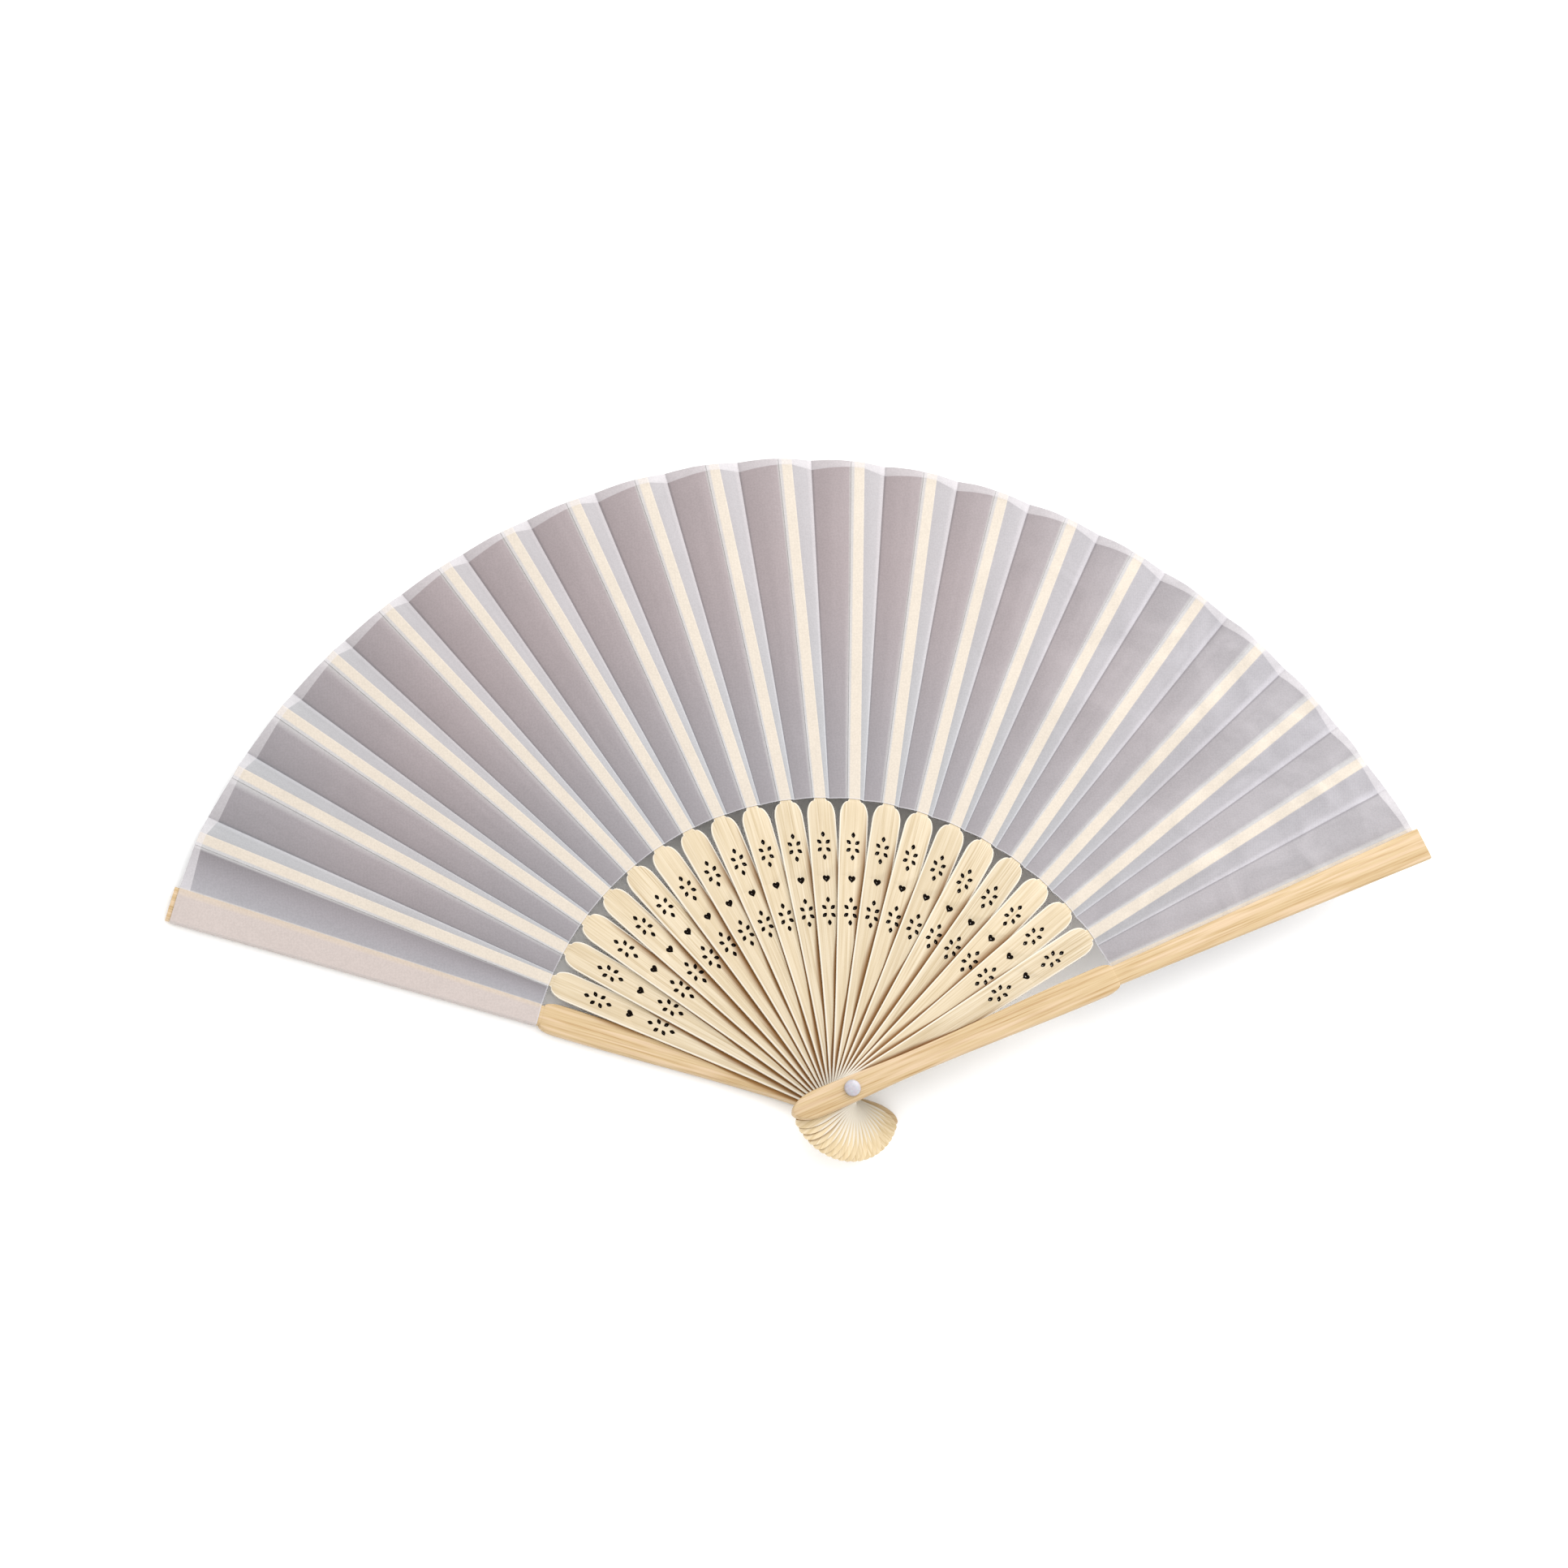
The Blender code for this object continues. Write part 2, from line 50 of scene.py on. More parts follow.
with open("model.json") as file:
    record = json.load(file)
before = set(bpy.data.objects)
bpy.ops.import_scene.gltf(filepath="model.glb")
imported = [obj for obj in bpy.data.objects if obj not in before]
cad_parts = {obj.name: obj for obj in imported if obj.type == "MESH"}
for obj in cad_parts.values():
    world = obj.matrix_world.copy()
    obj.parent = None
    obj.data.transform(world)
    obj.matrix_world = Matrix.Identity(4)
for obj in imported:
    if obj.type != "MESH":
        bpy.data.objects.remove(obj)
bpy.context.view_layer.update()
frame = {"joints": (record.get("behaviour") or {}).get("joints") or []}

# %% [markdown]
# ## Where each stick lies
#
# Every hinge closes the gap between two sticks, so its range is also the open angle between them.
# Adding the ranges gives each stick's heading, and the underside of its solid gives its level.
# Reading both from the frame keeps this script right when an angle changes.

# %% Headings and levels of the sticks
RIB_COUNT = 20
stick_names = ["back_guard"] + ["rib_%02d" % k for k in range(1, RIB_COUNT + 1)] + ["front_guard"]
body_names = ["root"] + stick_names[1:]
steps = {joint["child"]: math.radians(joint["range_deg"][1]) for joint in frame["joints"]}
opening = sum(steps.values())
headings = [math.pi / 2 + opening / 2]
for body in body_names[1:]:
    headings.append(headings[-1] - steps[body])
levels = [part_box(name)[0].z for name in stick_names]
print("opening:", round(math.degrees(opening), 2), "degrees; levels in mm:",
      round(levels[0] / MM, 2), "to", round(levels[-1] / MM, 2))

# %% [markdown]
# ## Camera
#
# The photograph is taken from high up on the fan's lower left, from more than a metre away, so
# the picture is almost flat. The camera is placed by the point it stands at, the point on the
# table that it looks at and the roll about its own line of sight, because these three can be
# measured apart. No shift is needed.

# %% Set up the camera
CAMERA_PLACE = Vector((-328.7, -255.8, 1119.9)) * MM
LOOK_AT = Vector((-3.6, 94.7, 0)) * MM
CAMERA_ROLL = math.radians(38.875)
LENS = 97.95  # millimetres, as Blender counts a lens and its sensor
SENSOR = 36.0
NEAREST_SEEN = 0.05


def put_in_scene(name, data):
    """A new object in the scene, from its mesh, camera or lamp."""
    thing = bpy.data.objects.new(name, data)
    bpy.context.scene.collection.objects.link(thing)
    return thing


def aimed_from(place):
    """The matrix of a camera or lamp that stands at this place and points at LOOK_AT."""
    return Matrix.Translation(place) @ (LOOK_AT - place).to_track_quat("-Z", "Y").to_matrix().to_4x4()


camera_data = bpy.data.cameras.new("camera")
camera_data.lens = LENS
camera_data.sensor_width = SENSOR
camera_data.clip_start = NEAREST_SEEN
camera = put_in_scene("camera", camera_data)
camera.matrix_world = aimed_from(CAMERA_PLACE) @ Matrix.Rotation(CAMERA_ROLL, 4, "Z")
bpy.context.scene.camera = camera
print("camera:", round((LOOK_AT - CAMERA_PLACE).length, 3), "m from the table")

# %% [markdown]
# ## Nodes and colours
#
# Every tree below, for shading or for geometry, is built by one function that adds a node, sets
# it and feeds it. A kind of node is written as the end of its type's name, and where the node has
# an operation, that follows, as in Math MULTIPLY. Colours are written as sRGB hex, as a paint
# chart gives them, and one function turns them to the linear values that Blender works with.

# %% Helpers for trees and colours
NODE_TYPE_STARTS = ("ShaderNode", "GeometryNode", "FunctionNode", "")
SMOOTH = {"interpolation_type": "SMOOTHSTEP"}
COLOURS = {"data_type": "RGBA"}


def linear(hex_colour):
    """Linear RGBA of an sRGB hex colour."""
    channels = [int(hex_colour[k:k + 2], 16) / 255 for k in (0, 2, 4)]
    return (*[c / 12.92 if c <= 0.04045 else ((c + 0.055) / 1.055) ** 2.4 for c in channels], 1.0)


def feed(tree, socket, source):
    """Sets a socket's value, or links it to another socket or to a node's first output."""
    if isinstance(source, bpy.types.Node):
        source = next(output for output in source.outputs if output.enabled)
    if isinstance(source, bpy.types.NodeSocket):
        tree.links.new(source, socket)
    else:
        socket.default_value = source


def add_node(tree, kind, *in_order, stops=(), **by_name):
    """Adds a node, sets it and feeds it. A name with a capital is one of its sockets, and a small
    one is a setting. A list feeds each of its members to one socket. Stops fill a colour ramp."""
    type_end, _, operation = kind.partition(" ")
    node = tree.nodes.new(next(
        start + type_end for start in NODE_TYPE_STARTS if hasattr(bpy.types, start + type_end)))
    if operation:
        node.operation = operation
    for name, value in by_name.items():
        if name[0].islower():
            setattr(node, name, value)
    for k, (place, hex_colour) in enumerate(stops):
        elements = node.color_ramp.elements
        element = elements[k] if k < len(elements) else elements.new(1.0)
        element.position = place
        element.color = linear(hex_colour)
    sockets = [socket for socket in node.inputs if socket.enabled]
    sockets_by_name = {socket.name.replace(" ", "_"): socket for socket in sockets}
    feeds = list(zip(sockets, in_order))
    feeds += [(sockets_by_name[name], value) for name, value in by_name.items() if name[0].isupper()]
    for socket, sources in feeds:
        for source in sources if isinstance(sources, list) else [sources]:
            feed(tree, socket, source)
    return node


def new_material(name, colour, roughness, **constants):
    """A Principled material. Constants sit on the shader's own sockets."""
    material = bpy.data.materials.new(name)
    material.use_nodes = True
    shader = material.node_tree.nodes["Principled BSDF"]
    shader.inputs["Base Color"].default_value = linear(colour)
    shader.inputs["Roughness"].default_value = roughness
    for socket, value in constants.items():
        shader.inputs[socket.replace("_", " ")].default_value = value
    return material, material.node_tree, shader


print("helpers ready")

# %% [markdown]
# ## Table and light
#
# The fan is shown as a cut-out on pure white. A near-white table under bright, even light comes
# out white too, also where the fan's shadow falls. A broad lamp at the upper right lights the
# panels that fall to the right, which turn towards it, but most of the difference between the two
# sides of each pleat is painted into the silk's colours.

# %% Table, sky and key lamp
TABLE_SIDE = 8.0
SKY_STRENGTH = 1.45
KEY_PLACE = Vector((0.48, 0.55, 0.42))
KEY_SIDE = 0.7
KEY_POWER = 5.5

table_mesh = bpy.data.meshes.new("table")
half_side = TABLE_SIDE / 2
table_mesh.from_pydata([(-half_side, -half_side, 0), (half_side, -half_side, 0),
                        (half_side, half_side, 0), (-half_side, half_side, 0)], [], [(0, 1, 2, 3)])
table = put_in_scene("table", table_mesh)
paper, _, _ = new_material("white seamless paper", "FAFAFA", 0.9)
table_mesh.materials.append(paper)

world = bpy.data.worlds.new("studio")
world.use_nodes = True
background = world.node_tree.nodes["Background"]
background.inputs["Color"].default_value = linear("FFFFFF")
background.inputs["Strength"].default_value = SKY_STRENGTH
bpy.context.scene.world = world
bpy.context.scene.view_settings.view_transform = "Standard"

key_data = bpy.data.lights.new("key", "AREA")
key_data.size = KEY_SIDE
key_data.energy = KEY_POWER
key = put_in_scene("key", key_data)
key.matrix_world = aimed_from(KEY_PLACE)
print("key lamp:", round((KEY_PLACE - LOOK_AT).length, 2), "m away")

# %% [markdown]
# ## The blank of a stick
#
# A stick is cut from a thin slat: a rounded tail, a waist, a head with round shoulders and, above
# it, a thin slip or the guard's long upper part. Its width changes smoothly along its length, so
# it is made as a row of cross-sections, each a rectangle with rounded corners, joined like the
# frames of a boat. That gives an even edge all round, which a bevel would not give so surely.

# %% Sizes of the sticks
TAIL_REACH = 18.4 * MM
TAIL_ROUND = 8.5 * MM
WAIST_AT = 20.0 * MM
HEAD_REACH = 85.9 * MM
SHOULDER_LENGTH = 4.6 * MM
STEP_LENGTH = 0.8 * MM
TAIL_END_SHARE = 0.06
LEAF_REACH = 190.4 * MM
LEAF_DIP = 3.0 * MM
LEAF_DIP_AT_SHARE = 0.3
LEAF_DIP_SPREAD_SHARE = 0.17
BACK_REACH_RISE = 1.0 * MM
FRONT_REACH_RISE = 1.4 * MM
SLIP_END_INSET = 1.2 * MM
SLIP_LEANS = (2.3 * MM, -0.9 * MM)
SLIP_LEAN_POWER = 5

RIB = {"tail": 7.2 * MM, "waist": 6.7 * MM, "head": 8.2 * MM, "neck": 3.9 * MM, "root": 3.2 * MM,
       "tip": 2.8 * MM, "thickness": 0.55 * MM, "upper": 0.3 * MM, "round": 0.1 * MM}
GUARD = {"tail": 7.6 * MM, "waist": 6.4 * MM, "head": 8.6 * MM, "neck": 5.6 * MM, "root": 5.6 * MM,
         "tip": 9.6 * MM, "lean": 0.0, "reach": 192.0 * MM, "thickness": 2.5 * MM, "upper": 2.5 * MM,
         "round": 0.55 * MM}


def leaf_reach(index):
    """How far the leaf reaches along a stick. Its trimmed edge dips in the left half of the fan,
    and the silk is drawn out a little beside each guard."""
    off_middle = (index / (RIB_COUNT + 1) - LEAF_DIP_AT_SHARE) / LEAF_DIP_SPREAD_SHARE
    reach = LEAF_REACH - LEAF_DIP * math.exp(-off_middle * off_middle)
    if index > RIB_COUNT:
        return reach + FRONT_REACH_RISE
    return reach + BACK_REACH_RISE / index ** 2 if index else reach


def from_first_to_last(index, sizes_at_ends, power=1):
    """A size that changes from the first rib to the last, evenly or mostly near the last."""
    first, last = sizes_at_ends
    return first + (last - first) * ((index - 1) / (RIB_COUNT - 1)) ** power


def rib_shape(index):
    """A rib's sizes. Near the front guard the stretched silk pulls the slips to the right."""
    return dict(RIB, reach=leaf_reach(index) - SLIP_END_INSET,
                lean=from_first_to_last(index, SLIP_LEANS, SLIP_LEAN_POWER))


def ease(share):
    """Goes from 0 to 1 with a soft start and a soft end."""
    return share * share * (3 - 2 * share)


print("leaf reach in mm:", [round(leaf_reach(k) / MM, 1) for k in (0, 6, 14, 21)])

# %% Cross-sections along a stick
TAIL_STEPS = 12
HANDLE_STEPS = 14
SHOULDER_STEPS = 9
UPPER_STEPS = 10
ROUND_STEPS = 3
MERGE_DISTANCE = 0.002 * MM


def stations(stick):
    """(x, middle, half width, thickness) of each cross-section from the tail to the tip."""
    rows = []
    for k in range(TAIL_STEPS):
        turn = math.pi / 2 * (TAIL_END_SHARE + (1 - TAIL_END_SHARE) * k / TAIL_STEPS)
        x = TAIL_ROUND * (1 - math.cos(turn)) - TAIL_REACH
        rows.append((x, 0.0, stick["tail"] / 2 * math.sin(turn), stick["thickness"]))
    spans = ((TAIL_ROUND - TAIL_REACH, stick["tail"], WAIST_AT, stick["waist"]),
             (WAIST_AT, stick["waist"], HEAD_REACH - SHOULDER_LENGTH, stick["head"]))
    for start, start_width, end, end_width in spans:
        for k in range(HANDLE_STEPS):
            share = k / HANDLE_STEPS
            width = start_width + (end_width - start_width) * ease(share)
            rows.append((start + (end - start) * share, 0.0, width / 2, stick["thickness"]))
    for k in range(SHOULDER_STEPS + 1):
        turn = math.pi / 2 * k / SHOULDER_STEPS
        step_in = (stick["head"] - stick["neck"]) / 2 * (1 - math.cos(turn))
        x = HEAD_REACH - SHOULDER_LENGTH * (1 - math.sin(turn))
        rows.append((x, 0.0, stick["head"] / 2 - step_in, stick["thickness"]))
    first = HEAD_REACH + STEP_LENGTH
    for k in range(UPPER_STEPS + 1):
        share = k / UPPER_STEPS
        width = stick["root"] + (stick["tip"] - stick["root"]) * share
        x = first + (stick["reach"] - first) * share
        rows.append((x, stick["lean"] * share, width / 2, stick["upper"]))
    return rows


def rounded_section(middle, half, thickness, corner):
    """(y, z) points round a rectangle whose corners are quarter circles, seen from the tip."""
    corner = min(corner, half, thickness / 2)
    points = []
    for side, level, first in ((1, 1, 0), (-1, 1, 1), (-1, -1, 2), (1, -1, 3)):
        centre_y = middle + side * (half - corner)
        centre_z = thickness / 2 + level * (thickness / 2 - corner)
        for k in range(ROUND_STEPS + 1):
            turn = math.pi / 2 * (first + k / ROUND_STEPS)
            points.append((centre_y + corner * math.cos(turn), centre_z + corner * math.sin(turn)))
    return points


def skinned(name, rings):
    """A closed mesh whose skin runs from each ring of points to the next. A ring of one point is a
    pole, and a larger ring at an end is closed by a face."""
    bm = bmesh.new()
    rows = [[bm.verts.new(point) for point in ring] for ring in rings]
    for row, following in zip(rows, rows[1:]):
        for k in range(max(len(row), len(following))):
            corners = [line[step % len(line)] for line, step in (
                (row, k), (row, k - 1), (following, k - 1), (following, k))]
            bm.faces.new(list(dict.fromkeys(corners)))
    for row in (rows[0], rows[-1]):
        if len(row) > 1:
            bm.faces.new(row)
    bmesh.ops.remove_doubles(bm, verts=bm.verts, dist=MERGE_DISTANCE)
    bmesh.ops.recalc_face_normals(bm, faces=bm.faces)
    mesh = bpy.data.meshes.new(name)
    bm.to_mesh(mesh)
    bm.free()
    return mesh


def stick_blank(name, stick):
    """A closed stick without holes, in its own frame: +X along it, Z = 0 on its underside."""
    return put_in_scene(name, skinned(name, [
        [(x, y, z) for y, z in rounded_section(middle, half, thickness, stick["round"])]
        for x, middle, half, thickness in stations(stick)]))


print("cross-sections in a rib:", len(stations(rib_shape(1))))

# %% [markdown]
# ## Bamboo
#
# The sticks are split bamboo, planed and sanded, not lacquered. Its fibres run along the stick as
# fine lines a few tenths of a millimetre wide, with broader, softer streaks between them. A noise
# that is stretched far along the stick draws both, and some ribs are plainer than others. Each
# stick carries its own coordinates, in millimetres, as the attribute stick_place, so the grain
# follows the stick and turns with it. A second attribute, stick_facts, holds the stick's number
# and how the one on top of it lies. Beside that one, on its left above the rivet and on its right
# below it, the shadow that it casts is painted in brown on a rib's upper face, and a noise makes
# this painted shadow wider in places. Below the rivet only the ribs near the front guard show it.
# A nearly white highlight is painted along a rib's edge, also round the head. No two ribs are
# quite the same tone, and their tails are warmer and brighter. The guards come from nearer the
# skin of the culm, which is a warmer tan with pinkish streaks.

# %% Make the bamboo materials
FIBRE_WIDTH = 0.4 * MM
STREAK_WIDTH = 1.2 * MM
GRAIN_LENGTH = 22.0 * MM
FIBRE_TONES_AT = (0.34, 0.50, 0.68)
FIBRE_ROUGHNESSES = (0.42, 0.62)
FIBRE_RELIEF = 0.05 * MM
STREAKS_FROM_NOISE = (0.48, 0.68)
STREAK_SHARE = 0.6
# How the painted shadow beside the stick on top varies along the stick and fades below the rivet.
SHADOW_WIDTH_LENGTH = 30.0 * MM
SHADOW_WIDTH_FROM_NOISE = (0.40, 0.62)
SHADE_WIDTHS = (0.3 * MM, 3.0 * MM)
SHADE_GROWS = (5.0 * MM, 65.0 * MM)
SHADE_IN_TAIL_SHARE = 0.3
SHADE_FADE = 4.0 * MM
TAIL_SHADE_FROM_RIB = 14
NUMBER_STEP = 3.7
FIBRE_CONTRASTS = (0.35, 1.0)
RIB_BRIGHTNESSES = (0.95, 1.03)
# A highlight painted along a rib's edge.
EDGE_HIGHLIGHT_WIDTH = 0.5 * MM
EDGE_HIGHLIGHT_COLOUR = "D0C9BC"


def bamboo_material(name, tones, streak, shadow_colour, edge_highlight_share, tail_brightness, stick):
    """Sanded bamboo: lengthwise fibres between three tones, broader streaks, a painted brown shadow
    beside the stick on top, a painted pale highlight along the edge and a warmer, brighter tail."""
    material, tree, shader = new_material(name, tones[1], 0.5, Specular_IOR_Level=0.25)
    add = partial(add_node, tree)
    place = add("Attribute", attribute_name="stick_place").outputs["Vector"]
    facts = add("Attribute", attribute_name="stick_facts").outputs["Vector"]
    x, y, z = add("SeparateXYZ", place).outputs
    number, cover_slope, cover_half = add("SeparateXYZ", facts).outputs

    def grain(length, width, detail):
        """Noise that is drawn out along the stick and differs from stick to stick."""
        stretched = add("VectorMath MULTIPLY", place, (1 / length, 1 / width, 1 / width))
        return add("TexNoise", Vector=stretched, W=number, Scale=1.0, Detail=detail, Roughness=0.6,
                   noise_dimensions="4D")

    def quarter_round(share):
        """How wide a quarter circle still is when this share of its radius is gone by."""
        return add("Math SQRT", add("Math SUBTRACT", 1.0, add("Math MULTIPLY", share, share)))

    fine = grain(GRAIN_LENGTH, FIBRE_WIDTH, 3.0)
    plain_or_not = add("TexWhiteNoise", number, noise_dimensions="1D")
    contrast = add("MapRange", plain_or_not, 0.0, 1.0, *FIBRE_CONTRASTS)
    centred = add("Math MULTIPLY", add("Math SUBTRACT", fine, 0.5), contrast)
    colour = add("ValToRGB", add("Math ADD", centred, 0.5), stops=zip(FIBRE_TONES_AT, tones))
    broad = grain(GRAIN_LENGTH, STREAK_WIDTH, 1.0)
    streak_share = add("MapRange", broad, *STREAKS_FROM_NOISE, 0.0, STREAK_SHARE)
    streaked = add("Mix", streak_share, colour, linear(streak), **COLOURS)
    own_tone = add("TexWhiteNoise", add("Math ADD", number, 0.5), noise_dimensions="1D")
    in_tail = add("MapRange", x, TAIL_ROUND - TAIL_REACH, 0.0, tail_brightness, 1.0)
    brightness = add("Math MULTIPLY", in_tail, add("MapRange", own_tone, 0.0, 1.0, *RIB_BRIGHTNESSES))
    toned = add("HueSaturation", Color=streaked, Saturation=in_tail, Value=brightness)

    # The shadow of the stick on top, painted in brown on the upper face beside its edge.
    moved_aside = add("Math MULTIPLY", add("Math ABSOLUTE", x), cover_slope)
    tail_share = quarter_round(add("MapRange", x, -TAIL_REACH, TAIL_ROUND - TAIL_REACH, 1.0, 0.0))
    cover_edge = add("Math SUBTRACT", add("Math MULTIPLY", cover_half, tail_share), moved_aside)
    from_cover = add("Math SUBTRACT", add("Math MULTIPLY", y, add("Math SIGN", x)), cover_edge)
    painted_shadow_width = add("MapRange", grain(SHADOW_WIDTH_LENGTH, 1.0, 0.0), *SHADOW_WIDTH_FROM_NOISE, *SHADE_WIDTHS)
    shade_growth = add("MapRange", x, *SHADE_GROWS, SHADE_IN_TAIL_SHARE, 1.0)
    shade_width = add("Math MULTIPLY", painted_shadow_width, shade_growth)
    shaded = add("MapRange", add("Math DIVIDE", from_cover, shade_width), 0.0, 1.0, 1.0, 0.0, **SMOOTH)
    on_upper_face = add("MapRange", z, stick["thickness"] - stick["round"], stick["thickness"])
    near_front_guard = add("MapRange", number, NUMBER_STEP * TAIL_SHADE_FROM_RIB, NUMBER_STEP * RIB_COUNT)
    where = add("Math MAXIMUM", add("MapRange", x, -SHADE_FADE, SHADE_FADE), near_front_guard)
    shade_share = add("Math MULTIPLY", add("Math MULTIPLY", shaded, on_upper_face), where)
    shaded_colour = add("Mix", shade_share, toned, linear(shadow_colour), blend_type="MULTIPLY", **COLOURS)

    # A pale highlight painted along the rib's edge, round the shoulders too.
    shoulder = HEAD_REACH - SHOULDER_LENGTH
    body = add("MapRange", x, WAIST_AT, shoulder, stick["waist"] / 2, stick["head"] / 2, **SMOOTH)
    rounded_off = add("Math SUBTRACT", 1.0, quarter_round(add("MapRange", x, shoulder, HEAD_REACH)))
    step_in = add("Math MULTIPLY", rounded_off, (stick["head"] - stick["neck"]) / 2)
    from_edge = add("Math SUBTRACT", add("Math SUBTRACT", body, step_in), add("Math ABSOLUTE", y))
    in_edge_highlight = add("MapRange", from_edge, 0.4 * EDGE_HIGHLIGHT_WIDTH, EDGE_HIGHLIGHT_WIDTH, edge_highlight_share, 0.0, **SMOOTH)
    feed(tree, shader.inputs["Base Color"], add("Mix", in_edge_highlight, shaded_colour, linear(EDGE_HIGHLIGHT_COLOUR), **COLOURS))
    feed(tree, shader.inputs["Roughness"], add("MapRange", fine, 0.0, 1.0, *FIBRE_ROUGHNESSES))
    feed(tree, shader.inputs["Normal"], add("Bump", Height=fine, Strength=0.45, Distance=FIBRE_RELIEF))
    return material


# The fourth colour is the painted shadow beside the stick on top; the share after it is for the painted edge
# highlight.
rib_bamboo = bamboo_material("sanded rib bamboo", ("A49172", "BDAE94", "C7BBA5"), "B3A284", "9C7032",
                             0.9, 1.17, RIB)
guard_bamboo = bamboo_material("planed guard bamboo", ("97774B", "B09873", "BAA583"), "C3AC92", "BC9A66",
                               0.0, 1.0, GUARD)
# The laser that pierces the ribs chars the walls of every hole. Soot gives back next to no gleam,
# so the walls stay all but black under the white sky.
charred_bamboo, _, _ = new_material("laser-charred bamboo", "120B07", 0.95, Specular_IOR_Level=0.05)
print("bamboo:", rib_bamboo.name, "and", guard_bamboo.name)

# %% [markdown]
# ## The pierced pattern
#
# A laser cuts two six-petalled flowers and a heart through each rib's head, and the rivet's pin
# goes through a hole in every stick. The same few shapes repeat on all twenty ribs, so a Geometry
# Nodes tree makes them: one petal on the points of a flower, the flower on two points along the
# rib, a heart between them, and a Boolean that cuts them all out. Each size is a named input. The
# beam narrows as it goes down, so a hole is smaller at its bottom and shows its charred walls.
# A petal is a round prism whose width is squared, which draws its ends out to points, and the
# heart is a round prism whose front is lifted by the root of its width.

# %% A way to declare and set a tree's inputs
SOCKET_KINDS = {float: "NodeSocketFloat", int: "NodeSocketInt", bool: "NodeSocketBool",
                Vector: "NodeSocketVector", bpy.types.Material: "NodeSocketMaterial"}
VECTOR_ON_POINTS = {"data_type": "FLOAT_VECTOR", "domain": "POINT"}


def new_geometry_tree(name, inputs):
    """A Geometry Nodes tree with a geometry in and out and named inputs of the given kinds."""
    tree = bpy.data.node_groups.new(name, "GeometryNodeTree")
    tree.is_modifier = True
    tree.interface.new_socket("Geometry", in_out="INPUT", socket_type="NodeSocketGeometry")
    for label, kind in inputs.items():
        tree.interface.new_socket(label, in_out="INPUT", socket_type=SOCKET_KINDS[kind])
    tree.interface.new_socket("Geometry", in_out="OUTPUT", socket_type="NodeSocketGeometry")
    return tree, add_node(tree, "NodeGroupInput").outputs, add_node(tree, "NodeGroupOutput").inputs


def grow(blank, tree, values, name):
    """Runs a tree on an object and leaves the result as a plain mesh in a new object."""
    modifier = blank.modifiers.new("grow", "NODES")
    modifier.node_group = tree
    for item in tree.interface.items_tree:
        if item.in_out == "INPUT" and item.name in values:
            modifier[item.identifier] = values[item.name]
    evaluated = blank.evaluated_get(bpy.context.evaluated_depsgraph_get())
    mesh = bpy.data.meshes.new_from_object(evaluated)
    bpy.data.objects.remove(blank, do_unlink=True)
    mesh.name = name
    return put_in_scene(name, mesh)


print("kinds of input:", len(SOCKET_KINDS))

# %% The tree that pierces a stick
PETAL_SIDES = 14
HEART_SIDES = 24
PIN_SIDES = 32
HEART_FLAT_SHARE = 0.85
HEART_LIFT_SHARE = 0.3677
HEART_SHIFT_SHARE = 0.15
HOLE_REACH = 2.6 * MM
WALL_TILT = 0.97

piercing, sizes, pierced = new_geometry_tree("pierced stick", {
    "Heart Place": float, "Flower Spacing": float, "Petal Length": float, "Petal Width": float,
    "End Petal Offset": float, "Side Petal Along": float, "Side Petal Aside": float,
    "Heart Size": float, "Pin Hole Width": float, "Cut Bottom": float, "Cut Top": float,
    "Hole Bottom Share": float, "Patterned": bool, "Stick Facts": Vector,
    "Bamboo": bpy.types.Material, "Char": bpy.types.Material})
pierce = partial(add_node, piercing)


def petal_rim(x, y):
    """The round's width times itself, with its sign: an almond with pointed ends."""
    squared = pierce("Math MULTIPLY", y, pierce("Math ABSOLUTE", y))
    twice_as_wide = pierce("Math MULTIPLY", sizes["Petal Width"], 2.0)
    return (pierce("Math MULTIPLY", x, sizes["Petal Length"]),
            pierce("Math MULTIPLY", squared, twice_as_wide))


def heart_rim(x, y):
    """The round's length, flattened, plus the root of its width: two lobes and a point. The shift
    brings the heart's middle back to its place."""
    flattened = pierce("Math MULTIPLY", x, HEART_FLAT_SHARE)
    root = pierce("Math SQRT", pierce("Math ABSOLUTE", y))
    front = pierce("Math ADD", flattened, pierce("Math MULTIPLY", root, HEART_LIFT_SHARE))
    middled = pierce("Math SUBTRACT", front, HEART_SHIFT_SHARE)
    return [pierce("Math MULTIPLY", part, sizes["Heart Size"]) for part in (middled, y)]


def pin_rim(x, y):
    return [pierce("Math MULTIPLY", part, sizes["Pin Hole Width"]) for part in (x, y)]


def prism(sides, rim, bottom_share):
    """A prism as deep as the cut and narrower at its bottom. The rim is worked out from the places
    on a round that is 1 wide."""
    rod = pierce("MeshCylinder", Vertices=sides, Radius=0.5, Depth=1.0, fill_type="NGON")
    x, y, z = pierce("SeparateXYZ", pierce("InputPosition")).outputs
    narrowing = pierce("MapRange", z, -0.5, 0.5, bottom_share)
    height = pierce("MapRange", z, -0.5, 0.5, sizes["Cut Bottom"], sizes["Cut Top"])
    along, aside = [pierce("Math MULTIPLY", part, narrowing) for part in rim(x, y)]
    return pierce("SetPosition", rod, Position=pierce("CombineXYZ", along, aside, height))


def pair_of_points(middle, offset):
    """Two points on the rib's middle line, each this far from the middle."""
    start = pierce("CombineXYZ", pierce("Math SUBTRACT", middle, offset))
    step = pierce("CombineXYZ", pierce("Math MULTIPLY", offset, 2.0))
    return pierce("MeshLine", 2, start, step, mode="OFFSET")


